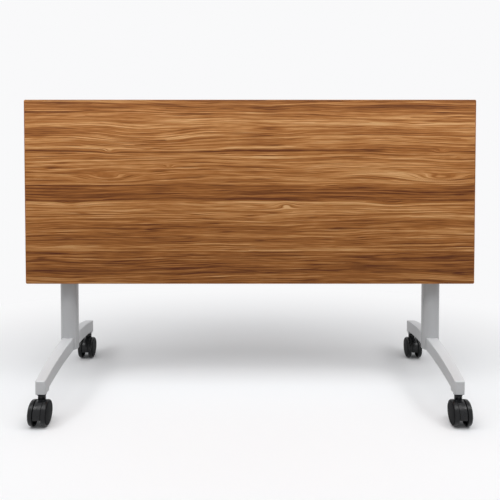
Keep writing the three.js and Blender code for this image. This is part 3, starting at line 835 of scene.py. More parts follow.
class MakeFeet(bpy.types.Operator):
    """Arched cast feet"""

    bl_idname = "training_table.feet"
    bl_label = "Feet"

    def execute(self, context):
        sizes = context.scene.table_sizes
        above_foot = 200.0
        for side in SIDES:
            column = middle(f"{side}_column")
            mesh = foot_mesh(column.x, column.y, sizes.foot_edge / MM, sizes.foot_corner / MM)
            bolt_head_top = span(f"{side}_tie_bolt")[0].z + TIE_HEAD_HEIGHT
            holes = [self.hole(bolt_head_top, TIE_HEAD_RADIUS, column)]
            holes.append(self.hole(above_foot, TIE_RADIUS, column))
            for end in ENDS:
                socket = f"{end}_{side}_socket"
                holes.append(self.hole(span(socket)[1].z, SOCKET_RADIUS, middle(socket)))
            mesh = combined(mesh, cutters=holes)
            piece(
                f"{side}_arched_foot", mesh, "silver_casting_coat", "silver_paint", "base", f"{side}_foot"
            )
        return {"FINISHED"}

    def hole(self, roof, radius, axis):
        """Cutter for a bore that runs from below the foot up to a roof."""
        below_foot = 60
        centre = (axis.x, axis.y, 0)
        return rod("Z", centre, radius + SEAT_GAP, below_foot, roof + SEAT_GAP, segments=40)


def column_mesh(side):
    """Round tube whose lower end is cut to straddle the foot."""
    low, high = span(f"{side}_column")
    axis = middle(f"{side}_column")
    over = foot_arcs()[0]
    notch = math.degrees(math.asin((FOOT_HALF_WIDTH + SEAT_GAP) / COLUMN_RADIUS))
    sectors = ((-notch, notch, True), (notch, 180 - notch, False))
    angles = []
    steps = 14
    for turn in (0, 180):
        for start, end, open_below in sectors:
            for step in range(steps):
                angles.append((turn + start + (end - start) * step / steps, open_below))
    points = []
    faces = []
    count = len(angles)
    for angle, _ in angles:
        turn = math.radians(angle)
        x = axis.x + COLUMN_RADIUS * math.sin(turn)
        y = axis.y - COLUMN_RADIUS * math.cos(turn)
        for z in (low.z, over(y) + SEAT_GAP, high.z):
            points.append((x, y, z))
    for index, (_, open_below) in enumerate(angles):
        here, after = 3 * index, 3 * ((index + 1) % count)
        if not open_below:
            faces.append((here, after, after + 1, here + 1))
        faces.append((here + 1, after + 1, after + 2, here + 2))
    sheet = mesh_of(points, faces)
    # Points under the notch belong to no face
    loose = bmesh.new()
    loose.from_mesh(sheet)
    bmesh.ops.delete(loose, geom=[v for v in loose.verts if not v.link_faces], context="VERTS")
    loose.to_mesh(sheet)
    loose.free()
    return applied(
        sheet,
        ("SOLIDIFY", {"thickness": TUBE_WALL * MM, "offset": -1.0, "use_even_offset": True}),
        ("BEVEL", {"width": 0.5 * MM, "segments": 2, "angle_limit": math.radians(50)}),
    )


class MakeColumns(bpy.types.Operator):
    """Round columns, notched over the feet"""

    bl_idname = "training_table.columns"
    bl_label = "Columns"

    def execute(self, context):
        for side in SIDES:
            mesh = column_mesh(side)
            piece(
                f"{side}_column_tube", mesh, "silver_powder_coat", "silver_paint", "base", f"{side}_column"
            )
        return {"FINISHED"}


class MakeHeads(bpy.types.Operator):
    """Pivot heads with their rests and rubber pads"""

    bl_idname = "training_table.heads"
    bl_label = "Heads"

    def execute(self, context):
        half = 30.0
        proud = 0.2
        plug_depth, plug_radius = 12.0, COLUMN_RADIUS - 3
        neck_top = PIVOT.z - 8
        rest_front, rest_back, rest_low = 4.0, HEAD_RADIUS + proud, -14.0
        rest_half = 18.0
        bore_radius = TUBE_RADIUS + SEAT_GAP
        flare, past = 1.0, 2.0
        for side in SIDES:
            x = leg_x(side)
            pad_low, pad_high = span(f"{side}_rest_pad")
            rest_top = pad_low.z - SEAT_GAP
            barrel = rod("X", FLIP_AXIS, HEAD_RADIUS, x - half, x + half, edge=2.5)
            column_top = span(f"{side}_column")[1].z
            neck = turned(
                [
                    (0, column_top - plug_depth),
                    (plug_radius, column_top - plug_depth),
                    (plug_radius, column_top + SEAT_GAP),
                    (COLUMN_RADIUS - proud, column_top + SEAT_GAP, 1.0),
                    (COLUMN_RADIUS - proud, neck_top),
                    (0, neck_top),
                ],
                "Z",
                (x, PIVOT.y, 0),
            )
            rest_bottom = (PIVOT.y + rest_front, PIVOT.z + rest_low)
            outline = rectangle(rest_bottom, (PIVOT.y + rest_back, rest_top), (1.5, 4.0, 2.0, 2.0))
            rest = plate([outline], "X", x - rest_half, x + rest_half, edge=1.2)
            bore = turned(
                [
                    (0, x - half - past),
                    (bore_radius + flare + past, x - half - past),
                    (bore_radius, x - half + flare),
                    (bore_radius, x + half - flare),
                    (bore_radius + flare + past, x + half + past),
                    (0, x + half + past),
                ],
                "X",
                FLIP_AXIS,
            )
            mesh = combined(barrel, [neck, rest], [bore])
            piece(
                f"{side}_pivot_head", mesh, "silver_casting_coat", "silver_casting", "base", f"{side}_head"
            )
            outline = rectangle(pad_low.yz, pad_high.yz, (0.8, 0.8, 1.2, 1.2))
            pad = plate([outline], "X", pad_low.x, pad_high.x, edge=1.0)
            piece(f"{side}_rubber_rest", pad, "black_rubber", "black_rubber", "base", f"{side}_rest_pad")
        return {"FINISHED"}


def index_outline():
    """Index plate seen along the cross tube: a larger rim has a notch for each end of the flip."""
    rim, notch_floor, notch_half = 44.0, 38.0, 5.5
    latch_angles = (120.0, 210.0)
    margin = 14.0
    side_angle = math.degrees(math.asin(notch_half / rim))
    start, end = latch_angles[0] - margin, latch_angles[1] + margin
    points = []

    def at(radius, angle):
        turn = math.radians(angle)
        points.append((PIVOT.y - radius * math.sin(turn), PIVOT.z + radius * math.cos(turn)))

    def sweep(radius, first, last, steps):
        for step in range(steps + 1):
            at(radius, first + (last - first) * step / steps)

    edge = start
    for angle in latch_angles:
        sweep(rim, edge, angle - side_angle, 10)
        turn = math.radians(angle)
        for across in (-notch_half, notch_half):
            y = -notch_floor * math.sin(turn) - across * math.cos(turn)
            z = notch_floor * math.cos(turn) - across * math.sin(turn)
            points.append((PIVOT.y + y, PIVOT.z + z))
        edge = angle + side_angle
    sweep(rim, edge, end, 6)
    sweep(HEAD_RADIUS, end, start + 360, 30)
    return points


class MakeIndexPlates(bpy.types.Operator):
    """Notched index plates on the cross tube"""

    bl_idname = "training_table.index_plates"
    bl_label = "Index plates"

    def execute(self, context):
        hole = arc((PIVOT.y, PIVOT.z), TUBE_RADIUS + SEAT_GAP, 0, 354, steps=59)
        for side in SIDES:
            low, high = span(f"{side}_index_plate")
            mesh = plate([index_outline(), hole], "X", low.x, high.x, edge=0.5)
            piece(
                f"{side}_notched_plate",
                mesh,
                "bright_zinc_plate",
                "zinc_steel",
                "base",
                f"{side}_index_plate",
            )
        return {"FINISHED"}


class MakeCrossTube(bpy.types.Operator):
    """Cross tube with its end caps and the bushes that turn on it"""

    bl_idname = "training_table.cross_tube"
    bl_label = "Cross tube"

    def execute(self, context):
        low, high = span("cross_tube")
        inside = TUBE_RADIUS - TUBE_WALL
        corners = [
            (inside, low.x, 0.4),
            (TUBE_RADIUS, low.x, 0.4),
            (TUBE_RADIUS, high.x, 0.4),
            (inside, high.x, 0.4),
        ]
        tube = turned(corners, "X", FLIP_AXIS, segments=72)
        piece("cross_tube_pipe", tube, "silver_powder_coat", "silver_paint", "base", "cross_tube")
        for side in SIDES:
            self.cap(side)
            for place in ("inner", "outer"):
                self.bush(side, place)
        return {"FINISHED"}

    def cap(self, side):
        """Dished cap whose plug fills the end of the tube."""
        low, high = span(f"{side}_tube_cap")
        way = inward(side)
        face = low.x if way > 0 else high.x
        thickness, plug_length = 4.0, 24.0
        plug_radius = TUBE_RADIUS - TUBE_WALL - SEAT_GAP
        dish, dish_radius, rim_radius = 0.8, EAR_RADIUS - 11, EAR_RADIUS - 9
        corners = [
            (0, face + way * dish),
            (dish_radius, face + way * dish, 2.0),
            (rim_radius, face, 1.0),
            (EAR_RADIUS, face, 2.4),
            (EAR_RADIUS, face + way * thickness, 0.5),
            (plug_radius, face + way * thickness),
            (plug_radius, face + way * plug_length, 1.5),
            (0, face + way * plug_length),
        ]
        mesh = turned(corners, "X", FLIP_AXIS)
        piece(f"{side}_end_cap", mesh, "black_moulded_plastic", "black_plastic", "base", f"{side}_tube_cap")

    def bush(self, side, place):
        """Flanged bush in a bearer's ear."""
        low, high = span(f"{side}_{place}_bush")
        flange_at_low = (place == "inner") == (side == "left")
        flange, back = (low.x, high.x) if flange_at_low else (high.x, low.x)
        way = 1.0 if flange_at_low else -1.0
        bore = TUBE_RADIUS + RUNNING_GAP
        thickness = abs(high.x - low.x) - BEARER_SHEET - SEAT_GAP
        rim = BUSH_RADIUS + 6.0
        corners = [
            (bore, flange, 0.4),
            (rim, flange, 0.4),
            (rim, flange + way * thickness, 0.4),
            (BUSH_RADIUS, flange + way * thickness),
            (BUSH_RADIUS, back, 0.4),
            (bore, back, 0.4),
        ]
        mesh = turned(corners, "X", FLIP_AXIS)
        piece(f"{side}_{place}_sleeve", mesh, "white_nylon", "white_nylon", "top", f"{side}_{place}_bush")


def bearer_depth(along):
    """Height of a bearer flange's lower edge above the flip axis, for a place along the flat bearer."""
    taper_start = 120.0
    end_depth, mid_depth = 10.0, 26.0
    reach = abs(along)
    share = min(max((BEARER_HALF - reach) / (BEARER_HALF - taper_start), 0.0), 1.0)
    edge = BEARER_TOP - end_depth - (mid_depth - end_depth) * share
    if reach < EAR_RADIUS:
        edge = -math.sqrt(EAR_RADIUS ** 2 - reach ** 2)
    elif reach < EAR_RADIUS + GUSSET:
        edge *= (reach - EAR_RADIUS) / GUSSET
    off_bar = along - BAR_ALONG
    if abs(off_bar) < BAR_BOSS:
        edge = min(edge, BAR_RISE - math.sqrt(BAR_BOSS ** 2 - off_bar ** 2))
    return edge


def bearer_mesh(side, bend):
    """Pressed channel: a web under the board, two bends and flanges that drop to ears and bar bosses."""
    x = leg_x(side)
    half_width = 41.4
    stations = [-BEARER_HALF, -180, -150, -120, -100]
    stations += [BAR_ALONG - BAR_BOSS * math.cos(math.pi * step / 16) for step in range(17)]
    stations += [-EAR_RADIUS - GUSSET]
    stations += [-EAR_RADIUS * math.cos(math.pi * step / 28) for step in range(29)]
    stations += [EAR_RADIUS + GUSSET, 60, 90, 120, 150, 180, BEARER_HALF]
    stations = sorted(stations)
    sections = []
    for along in stations:
        lower = bearer_depth(along)
        side_top = BEARER_TOP - bend
        section = [(-half_width, lower + (side_top - lower) * step / 4) for step in range(5)]
        section += arc((-half_width + bend, side_top), bend, 180, 90, steps=5)[1:]
        for step in range(1, 5):
            section.append((-half_width + bend + (half_width - bend) * step / 4, BEARER_TOP))
        section += [(-across, rise) for across, rise in reversed(section[:-1])]
        sections.append([(x + across, *rest_place(along, rise)) for across, rise in section])
    sheet_mesh = lofted(sections, closed_sections=False)
    flange_face = sheet_mesh.polygons[0]
    faces_out = flange_face.normal.x * (flange_face.center.x / MM - x) > 0
    inwards = -1.0 if faces_out else 1.0
    solid = applied(
        sheet_mesh,
        ("SOLIDIFY", {"thickness": BEARER_SHEET * MM, "offset": inwards, "use_even_offset": True}),
        ("BEVEL", {"width": 0.5 * MM, "segments": 2, "angle_limit": math.radians(60)}),
    )
    reach = half_width + 10
    ear_hole = rod("X", FLIP_AXIS, BUSH_RADIUS + SEAT_GAP, x - reach, x + reach)
    bar_hole = rod("X", BAR_AXIS, BAR_RADIUS + RUNNING_GAP, x - reach, x + reach, segments=32)
    return combined(solid, cutters=[ear_hole, bar_hole])


class MakeBearers(bpy.types.Operator):
    """Pressed steel bearers under the board"""

    bl_idname = "training_table.bearers"
    bl_label = "Bearers"

    def execute(self, context):
        bend = context.scene.table_sizes.bearer_bend / MM
        for side in SIDES:
            mesh = bearer_mesh(side, bend)
            piece(
                f"{side}_pressed_bearer", mesh, "black_powder_coat", "bearer_paint", "top", f"{side}_bearer"
            )
        return {"FINISHED"}


class MakeRelease(bpy.types.Operator):
    """Release bar with its pawls and grips, and the guide that carries it"""

    bl_idname = "training_table.release"
    bl_label = "Release"

    def execute(self, context):
        edge = context.scene.table_sizes.grip_edge / MM
        low, high = span("release_bar")
        bar = rod("X", BAR_AXIS, BAR_RADIUS, low.x, high.x, edge=1.0, segments=36)
        piece("release_rod", bar, "bright_zinc_plate", "zinc_steel", "release", "release_bar")
        for side in SIDES:
            self.pawl(side)
            self.grip(side, edge)
        self.guide()
        return {"FINISHED"}

    def bored(self, blade, hub, start, end, edge):
        """A blade joined with its hub and bored for the bar."""
        past = 5.0
        boss = rod("X", BAR_AXIS, hub, start, end, edge, segments=40)
        bore = rod("X", BAR_AXIS, BAR_RADIUS + SEAT_GAP, start - past, end + past, segments=36)
        return combined(blade, [boss], [bore])

    def pawl(self, side):
        """Latch pawl: an arm from the bar that ends in a tooth for the index plate."""
        low, high = span(f"{side}_pawl")
        hub, reach = 12.3, 50.0
        lift, tooth, tooth_width, arm = 0.5, 6.0, 9.0, 10.0
        turn = math.radians(120)

        def at(along, out, *radius):
            flat_along = BAR_ALONG - along * math.cos(turn) - out * math.sin(turn)
            flat_rise = BAR_RISE - along * math.sin(turn) + out * math.cos(turn)
            return (*rest_place(flat_along, flat_rise), *radius)

        near, far = reach - tooth_width / 2, reach + tooth_width / 2
        outline = rounded([
            at(0, -hub / 2),
            at(near, lift + tooth, 3.0),
            at(near, lift, 0.8),
            at(far, lift, 0.8),
            at(far, lift + tooth + arm, 5.0),
            at(0, hub),
        ])
        blade = plate([outline], "X", low.x, high.x, edge=0.4)
        proud = 0.6
        mesh = self.bored(blade, hub, low.x - proud, high.x + proud, edge=0.8)
        piece(f"{side}_latch_pawl", mesh, "bright_zinc_plate", "zinc_steel", "release", f"{side}_pawl")

    def grip(self, side, edge):
        """Flat finger grip that tapers away from its hub on the bar."""
        low, high = span(f"{side}_grip")
        hub, tip, reach = 12.8, 4.0, 110.0
        waist = 2.4 * hub
        waist_radius, tip_radius = 46.0, 3.4
        inset = 0.4
        outline = rounded([
            (BAR.y - hub, BAR.z),
            (BAR.y + hub, BAR.z),
            (BAR.y + tip, BAR.z - waist, waist_radius),
            (BAR.y + tip, BAR.z - reach, tip_radius),
            (BAR.y - tip, BAR.z - reach, tip_radius),
            (BAR.y - tip, BAR.z - waist, waist_radius),
        ], steps=8)
        blade = plate([outline], "X", low.x + inset, high.x - inset, edge)
        mesh = self.bored(blade, hub, low.x, high.x, edge=1.6)
        piece(
            f"{side}_moulded_grip",
            mesh,
            "black_moulded_plastic",
            "black_plastic",
            "release",
            f"{side}_grip",
        )

    def guide(self):
        """Saddle screwed to the board that holds the middle of the bar."""
        low, high = span("bar_guide")
        wall, flange_wide = 7.0, 29.0
        wide = BAR_RADIUS + wall
        flange_face = low.y + GUIDE_FLANGE
        round_end = arc((BAR.y, BAR.z), wide, 90, -90, steps=18)
        outline = [
            (low.y, BAR.z - flange_wide),
            (low.y, BAR.z + flange_wide),
            (flange_face, BAR.z + flange_wide),
            (flange_face, BAR.z + wide),
            *round_end,
            (flange_face, BAR.z - wide),
            (flange_face, BAR.z - flange_wide),
        ]
        hole = arc((BAR.y, BAR.z), BAR_RADIUS + RUNNING_GAP, 0, 348, steps=29)
        mesh = plate([outline, hole], "X", low.x, high.x, edge=0.8)
        piece("bar_saddle", mesh, "black_moulded_plastic", "black_plastic", "top", "bar_guide")


def spring_path(side):
    """Torsion spring: straight from the board, round the bar, then along the bar to the grip."""
    mean, turns, pitch, bend = 9.2, 5.5, 2.8, 3.0
    start, grip_face = 44.4, 66.1  # inwards from the leg's axis
    path = []

    def at(reach, along, rise):
        x = leg_x(side) + inward(side) * reach
        path.append(Vector((x, *rest_place(BAR_ALONG + along, BAR_RISE + rise))))

    board = BOARD_RISE - BAR_RISE - SEAT_GAP
    for step in range(6):
        at(start, mean, board + (SPRING_WIRE - board) * step / 5)
    curl_steps = 28
    steps = round(turns * curl_steps)
    for step in range(steps + 1):
        angle = -2 * math.pi * step / curl_steps
        at(start + pitch * step / curl_steps, mean * math.cos(angle), mean * math.sin(angle))
    end = start + turns * pitch
    for step in range(1, 9):
        angle = math.pi / 2 * step / 8
        at(end + bend * (1 - math.cos(angle)), -mean, bend * math.sin(angle))
    at(grip_face - SEAT_GAP, -mean, bend)
    return path


class MakeSprings(bpy.types.Operator):
    """Release springs wound round the bar"""

    bl_idname = "training_table.springs"
    bl_label = "Release springs"

    def execute(self, context):
        for side in SIDES:
            mesh = wire(spring_path(side), SPRING_WIRE / 2, sides=12)
            piece(
                f"{side}_wound_spring",
                mesh,
                "spring_steel",
                "spring_steel",
                "top",
                f"{side}_release_spring",
            )
        return {"FINISHED"}


class MakeBuffers(bpy.types.Operator):
    """Rubber buffers between the upright top and the columns"""

    bl_idname = "training_table.buffers"
    bl_label = "Buffers"

    def execute(self, context):
        radius, skirt, taper = 11.0, 4.0, 1.6
        hole_rim, hole_floor, hole_depth = 3.2, 2.6, 2.5
        for side in SIDES:
            low, high = span(f"{side}_buffer")
            centre = middle(f"{side}_buffer")
            corners = [
                (0, low.y),
                (radius, low.y, 0.6),
                (radius, low.y + skirt, 1.0),
                (radius - taper, high.y, 3.0),
                (hole_rim, high.y, 1.0),
                (hole_floor, high.y - hole_depth),
                (0, high.y - hole_depth),
            ]
            mesh = turned(corners, "Y", (centre.x, 0, centre.z), segments=40)
            piece(f"{side}_rubber_buffer", mesh, "black_rubber", "black_rubber", "top", f"{side}_buffer")
        return {"FINISHED"}


def socket_screw(axis, centre, seat, head_end, tip, head_radius, shank_radius):
    """Cap screw with a hexagon socket, its head between seat and head_end on its axis."""
    way = 1.0 if head_end > seat else -1.0
    corners = [
        (0, tip),
        (shank_radius, tip),
        (shank_radius, seat),
        (head_radius, seat, 0.3),
        (head_radius, head_end, 0.7),
        (0, head_end),
    ]
    key = head_radius * 0.56
    hexagon = arc((0, 0), key, 0, 300, steps=5)
    depth = abs(head_end - seat) * 0.6
    past = 2.0
    near, far = sorted((head_end - way * depth, head_end + way * past))
    socket = plate([hexagon], "Z", near, far, edge=0)
    for vertex in socket.vertices:
        across, up, along = vertex.co / MM
        vertex.co = (Vector(placed(axis, across, up, along)) + Vector(centre)) * MM
    return combined(turned(corners, axis, centre, segments=40), cutters=[socket])


class MakeBolts(bpy.types.Operator):
    """Clamp screws in the heads and tie bolts under the feet"""

    bl_idname = "training_table.bolts"
    bl_label = "Bolts"

    def execute(self, context):
        head_height, head_radius, shank_radius = 6.0, 6.5, 4.0
        for side in SIDES:
            low, high = span(f"{side}_clamp_screw")
            centre = (leg_x(side), 0, PIVOT.z)
            mesh = socket_screw("Y", centre, high.y - head_height, high.y, low.y, head_radius, shank_radius)
            piece(
                f"{side}_cap_screw", mesh, "bright_zinc_plate", "zinc_steel", "base", f"{side}_clamp_screw"
            )
            low, high = span(f"{side}_tie_bolt")
            axis = middle(f"{side}_tie_bolt")
            centre = (axis.x, axis.y, 0)
            seat = low.z + TIE_HEAD_HEIGHT
            mesh = socket_screw("Z", centre, seat, low.z, high.z, TIE_HEAD_RADIUS, TIE_RADIUS)
            piece(f"{side}_long_bolt", mesh, "bright_zinc_plate", "zinc_steel", "base", f"{side}_tie_bolt")
        return {"FINISHED"}


def screw_tree():
    """Geometry Nodes: pan heads with cross slots on points, facing +Y, each turned by a seeded amount."""
    tree = bpy.data.node_groups.new("pan_head_screws", "GeometryNodeTree")
    for name, kind in (
        ("Geometry", "NodeSocketGeometry"),
        ("Head Diameter", "NodeSocketFloat"),
        ("Head Height", "NodeSocketFloat"),
        ("Slot Width", "NodeSocketFloat"),
        ("Seed", "NodeSocketInt"),
        ("Material", "NodeSocketMaterial"),
    ):
        tree.interface.new_socket(name, in_out="INPUT", socket_type=kind)
    tree.interface.new_socket("Geometry", in_out="OUTPUT", socket_type="NodeSocketGeometry")
    given = add(tree, "NodeGroupInput").outputs
    radius = add(tree, "ShaderNodeMath", {0: given["Head Diameter"], 1: 0.5}, operation="MULTIPLY")
    dome = add(tree, "GeometryNodeMeshUVSphere", {"Segments": 24, "Rings": 14, "Radius": radius})
    squash = add(tree, "ShaderNodeMath", {0: given["Head Height"], 1: radius}, operation="DIVIDE")
    scale = add(tree, "ShaderNodeCombineXYZ", {"X": 1.0, "Y": 1.0, "Z": squash})
    head = add(tree, "GeometryNodeTransform", {"Geometry": dome, "Scale": scale})
    length = add(tree, "ShaderNodeMath", {0: given["Head Diameter"], 1: 0.56}, operation="MULTIPLY")
    lift = add(tree, "ShaderNodeCombineXYZ", {"Z": given["Head Height"]})
    slots = []
    for first, second in (("X", "Y"), ("Y", "X")):
        size = add(
            tree,
            "ShaderNodeCombineXYZ",
            {first: length, second: given["Slot Width"], "Z": given["Head Height"]},
        )
        bar = add(tree, "GeometryNodeMeshCube", {"Size": size})
        raised = add(tree, "GeometryNodeTransform", {"Geometry": bar, "Translation": lift})
        slots.append(raised.outputs[0])
    cut = add(tree, "GeometryNodeMeshBoolean", {"Mesh 1": head}, operation="DIFFERENCE", solver="MANIFOLD")
    for slot in slots:
        tree.links.new(slot, cut.inputs["Mesh 2"])
    spin = add(
        tree, "FunctionNodeRandomValue", {2: 0.0, 3: math.pi, "Seed": given["Seed"]}, data_type="FLOAT"
    ).outputs[1]
    turn = add(tree, "ShaderNodeCombineXYZ", {"X": -math.pi / 2, "Y": spin})
    spread = add(
        tree,
        "GeometryNodeInstanceOnPoints",
        {"Points": given["Geometry"], "Instance": cut, "Rotation": turn},
    )
    real = add(tree, "GeometryNodeRealizeInstances", {"Geometry": spread})
    dressed = add(tree, "GeometryNodeSetMaterial", {"Geometry": real, "Material": given["Material"]})
    add(tree, "NodeGroupOutput", {"Geometry": dressed})
    return tree


class MakeScrews(bpy.types.Operator):
    """Pan head screws that hold the bearers and the bar guide to the board"""

    bl_idname = "training_table.screws"
    bl_label = "Screws"

    def execute(self, context):
        sizes = context.scene.table_sizes
        web = BEARER_TOP - BEARER_SHEET
        places = []
        for side in SIDES:
            for along in (-205, -140, 140, 205):
                for across in (-22, 22):
                    places.append((leg_x(side) + across, *rest_place(along, web)))
        guide_face = span("bar_guide")[0].y + GUIDE_FLANGE
        for offset in (-21.5, 21.5):
            places.append((0, guide_face, BAR.z + offset))
        holder = bpy.data.objects.new("screw_points", mesh_of(places, []))
        modifier = holder.modifiers.new("screws", "NODES")
        modifier.node_group = screw_tree()
        values = {
            "Head Diameter": sizes.screw_head,
            "Head Height": 2.4 * MM,
            "Slot Width": 1.1 * MM,
            "Seed": sizes.screw_seed,
            "Material": FINISHES["bright_zinc_plate"],
        }
        for socket in modifier.node_group.interface.items_tree:
            if socket.in_out == "INPUT" and socket.name in values:
                modifier[socket.identifier] = values[socket.name]
        piece("board_screws", cleaned(evaluated(holder)), "bright_zinc_plate", "zinc_steel", "top")
        return {"FINISHED"}


class MakeCasters(bpy.types.Operator):
    """Twin wheel casters: sockets, hoods and wheels"""

    bl_idname = "training_table.casters"
    bl_label = "Casters"

    def execute(self, context):
        sizes = context.scene.table_sizes
        for name in CASTERS:
            self.socket(name)
            self.hood(name, sizes.hood_edge / MM)
            for place in ("inner", "outer"):
                self.wheel(name, place, sizes.wheel_shoulder / MM)
        return {"FINISHED"}

    def socket(self, name):
        """Flanged sleeve in the foot that takes the caster's stem."""
        low, high = span(f"{name}_socket")
        axis = middle(f"{name}_socket")
        bore, flange, thickness = 5.9, 13.7, 4.0
        corners = [
            (bore, low.z),
            (flange, low.z, 1.0),
            (flange, low.z + thickness, 0.6),
            (SOCKET_RADIUS, low.z + thickness),
            (SOCKET_RADIUS, high.z),
            (bore, high.z),
        ]
        mesh = turned(corners, "Z", (axis.x, axis.y, 0), segments=48)
        piece(
            f"{name}_stem_socket", mesh, "black_moulded_plastic", "black_plastic", "base", f"{name}_socket"
        )

    def hood(self, name, edge):
        """Curved shell between the two wheels, with the neck that carries the stem."""
        low, high = span(f"{name}_hood")
        axle = middle(f"{name}_axle")
        stem = middle(f"{name}_stem")
        shell_radius, hub = 35.5, 12.0
        neck_radius, neck_low = 11.7, axle.z + 12
        outline = arc((axle.y, axle.z), shell_radius, -25, 194, steps=60)
        outline += arc((axle.y, axle.z), hub, 225, 315, steps=14)
        shell = plate([outline], "X", low.x, high.x, edge)
        corners = [(0, neck_low), (neck_radius, neck_low), (neck_radius, high.z, 0.8), (0, high.z)]
        neck = turned(corners, "Z", (stem.x, stem.y, 0), segments=48)
        mesh = combined(shell, [neck])
        piece(
            f"{name}_caster_hood",
            mesh,
            "hood_moulded_plastic",
            "grey_plastic",
            f"{name}_caster",
            f"{name}_hood",
        )

    def wheel(self, name, place, shoulder):
        """Wheel open on its inner side, with a thin groove round its outer disc."""
        node = f"{name}_{place}_wheel"
        low, high = span(node)
        axle = middle(f"{name}_axle")
        way = 1.0 if (low.x + high.x) / 2 > axle.x else -1.0
        inner_face = low.x if way > 0 else high.x
        width, radius = high.x - low.x, 37.5
        rim_wall, disc_wall, hub, bore = 4.5, 5.0, 9.0, 4.4
        floor = width - disc_wall
        groove_outside, groove_inside, groove_slope, groove_depth = 29.2, 28.2, 0.2, 0.4
        disc_drop = 0.1
        corners = [
            (0, floor),
            (bore, floor),
            (bore, 0, 0.4),
            (hub, 0, 0.6),
            (hub, floor, 1.0),
            (radius - rim_wall, floor, 1.5),
            (radius - rim_wall, 0, 0.8),
            (radius, 0, 1.4),
            (radius, width, shoulder),
            (groove_outside, width, 0.2),
            (groove_outside - groove_slope, width - groove_depth, 0.1),
            (groove_inside + groove_slope, width - groove_depth, 0.1),
            (groove_inside, width - disc_drop, 0.2),
            (0, width - disc_drop),
        ]
        corners = [(across, inner_face + way * along, *edge) for across, along, *edge in corners]
        mesh = turned(corners, "X", (0, axle.y, axle.z), segments=72)
        piece(f"{name}_{place}_roller", mesh, "black_nylon_tread", "black_plastic", f"{name}_{place}", node)
        mesh.materials.append(FINISHES["black_nylon_disc"])
        flat_enough = 0.85
        for face in mesh.polygons:
            if abs(face.normal.x) > flat_enough:
                face.material_index = 1


class FinishHiddenSteel(bpy.types.Operator):
    """Zinc plate on the caster stems and axles, which keep their CAD shape"""

    bl_idname = "training_table.hidden_steel"
    bl_label = "Stems and axles"

    def execute(self, context):
        for name in CASTERS:
            for part in ("stem", "axle"):
                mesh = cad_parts[f"{name}_{part}"].data
                mesh.materials.clear()
                mesh.materials.append(FINISHES["bright_zinc_plate"])
        return {"FINISHED"}


# Studio

SURROUND = "#f9f9fa"


def seen_rays(tree):
    """One for rays that reach the eye, straight, mirrored or through glass, and nought for the rest."""
    rays = add(tree, "ShaderNodeLightPath").outputs
    seen = rays["Is Camera Ray"]
    for kind in ("Is Glossy Ray", "Is Transmission Ray"):
        seen = add(tree, "ShaderNodeMath", {0: seen, 1: rays[kind]}, operation="MAXIMUM")
    return seen


def make_floor(colour):
    """Pale floor that keeps the table's shadow, fades into the surround and throws back a little light."""
    tree, shader, place = bare_finish("studio_floor", 0.85, Specular_IOR_Level=0.1)
    # The floor fades out over an oval that is longer along the table
    oval = add(tree, "ShaderNodeVectorMath", {0: place, 1: (0.7, 1.0, 1.0)}, operation="MULTIPLY")
    reach = add(tree, "ShaderNodeVectorMath", {0: oval}, operation="LENGTH").outputs["Value"]
    fade = add(
        tree,
        "ShaderNodeMapRange",
        {"Value": reach, "From Min": 0.5, "From Max": 1.25},
        interpolation_type="SMOOTHSTEP",
    )
    seen = seen_rays(tree)
    pale = add(
        tree, "ShaderNodeMix", {0: seen, 6: linear("#888888"), 7: colour}, data_type="RGBA"
    ).outputs[2]
    tree.links.new(pale, shader.inputs["Base Color"])
    share = add(tree, "ShaderNodeMath", {0: fade, 1: seen}, operation="MULTIPLY")
    white = add(tree, "ShaderNodeEmission", {"Color": linear(SURROUND), "Strength": 1.0})
    mixed = add(tree, "ShaderNodeMixShader", {0: share, 1: shader, 2: white})
    tree.links.new(mixed.outputs[0], tree.nodes["Material Output"].inputs["Surface"])


def make_surround(horizon, zenith):
    """White surround for the camera and reflections, and softer light, more from above, on the table."""
    world = bpy.data.worlds.new("studio_surround")
    world.use_nodes = True
    tree = world.node_tree
    tree.nodes.clear()
    seen = seen_rays(tree)
    way = add(tree, "ShaderNodeTexCoord").outputs["Generated"]
    rise = add(tree, "ShaderNodeSeparateXYZ", {"Vector": way}).outputs["Z"]
    level = add(tree, "ShaderNodeMapRange", {"Value": rise, "To Min": horizon, "To Max": zenith})
    light = add(tree, "ShaderNodeBackground", {"Color": linear("#ffffff"), "Strength": level})
    white = add(tree, "ShaderNodeBackground", {"Color": linear(SURROUND), "Strength": 1.0})
    mixed = add(tree, "ShaderNodeMixShader", {0: seen, 1: light, 2: white})
    add(tree, "ShaderNodeOutputWorld", {"Surface": mixed})
    bpy.context.scene.world = world


def softbox(name, place, target, width, height, power, spread):
    """A large soft lamp that faces a target and sends its light within a spread in degrees."""
    lamp = bpy.data.lights.new(name, "AREA")
    lamp.shape = "RECTANGLE"
    lamp.size = width
    lamp.size_y = height
    lamp.energy = power
    lamp.spread = math.radians(spread)
    made = bpy.data.objects.new(name, lamp)
    made.location = place
    made.rotation_mode = "QUATERNION"
    made.rotation_quaternion = (Vector(target) - Vector(place)).to_track_quat("-Z", "Y")
    bpy.context.scene.collection.objects.link(made)


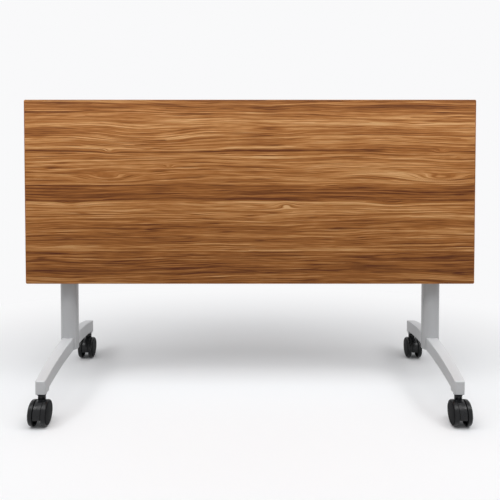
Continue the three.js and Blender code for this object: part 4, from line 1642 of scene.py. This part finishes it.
class MakeStage(bpy.types.Operator):
    """Studio floor, surround, lamps and camera"""

    bl_idname = "training_table.stage"
    bl_label = "Studio"

    def execute(self, context):
        scene = context.scene
        make_floor(scene.table_colours.floor)
        make_surround(horizon=0.29, zenith=0.66)
        floor_radius = 9000
        rim = arc((0, 0), floor_radius, 0, 354, steps=59)
        floor_mesh = mesh_of([(x, y, 0) for x, y in rim], [list(range(len(rim)))])
        floor_mesh.materials.append(FINISHES["studio_floor"])
        floor = bpy.data.objects.new("studio_floor", floor_mesh)
        scene.collection.objects.link(floor)
        softbox(
            "overhead_softbox", (0, -0.95, 3.2), (0, 0.1, 0), width=3.4, height=1.3, power=29.5, spread=180
        )
        softbox("front_softbox", (0, -1.8, 2.8), (0, 0, 0.1), width=3.0, height=0.8, power=21, spread=180)
        for name, way in (("left_softbox", -1), ("right_softbox", 1)):
            softbox(
                name,
                (way * 1.75, -0.9, 1.9),
                (way * 0.6, 0, 0.1),
                width=0.8,
                height=0.8,
                power=2.1,
                spread=80,
            )
        camera = bpy.data.cameras.new("photo_camera")
        camera.lens = 43.2
        camera.sensor_width = 36.0
        camera.shift_y = -0.22
        view = bpy.data.objects.new("photo_camera", camera)
        view.location = (0, -2.02, 0.902)
        tilt_down = 1.73
        view.rotation_euler = (math.radians(90 - tilt_down), 0, 0)
        scene.collection.objects.link(view)
        scene.camera = view
        scene.view_settings.view_transform = "Standard"
        return {"FINISHED"}


OPERATORS = (
    MakeFinishes,
    MakeTop,
    MakeColumns,
    MakeFeet,
    MakeHeads,
    MakeIndexPlates,
    MakeCrossTube,
    MakeBearers,
    MakeRelease,
    MakeSprings,
    MakeBuffers,
    MakeBolts,
    MakeScrews,
    MakeCasters,
    FinishHiddenSteel,
    MakeStage,
)


class TablePanel(bpy.types.Panel):
    """Lists the table's pieces in the sidebar"""

    bl_idname = "VIEW3D_PT_training_table"
    bl_label = "Training table"
    bl_space_type = "VIEW_3D"
    bl_region_type = "UI"
    bl_category = "Training table"

    def draw(self, context):
        for operator in OPERATORS:
            self.layout.operator(operator.bl_idname)


CLASSES = (TableSizes, TableColours, *OPERATORS, TablePanel)


def register():
    for cls in CLASSES:
        bpy.utils.register_class(cls)
    bpy.types.Scene.table_sizes = PointerProperty(type=TableSizes)
    bpy.types.Scene.table_colours = PointerProperty(type=TableColours)


def unregister():
    del bpy.types.Scene.table_colours
    del bpy.types.Scene.table_sizes
    for cls in reversed(CLASSES):
        bpy.utils.unregister_class(cls)


def main():
    register()
    for operator in OPERATORS:
        group, name = operator.bl_idname.split(".")
        getattr(getattr(bpy.ops, group), name)()


if __name__ == "__main__":
    main()
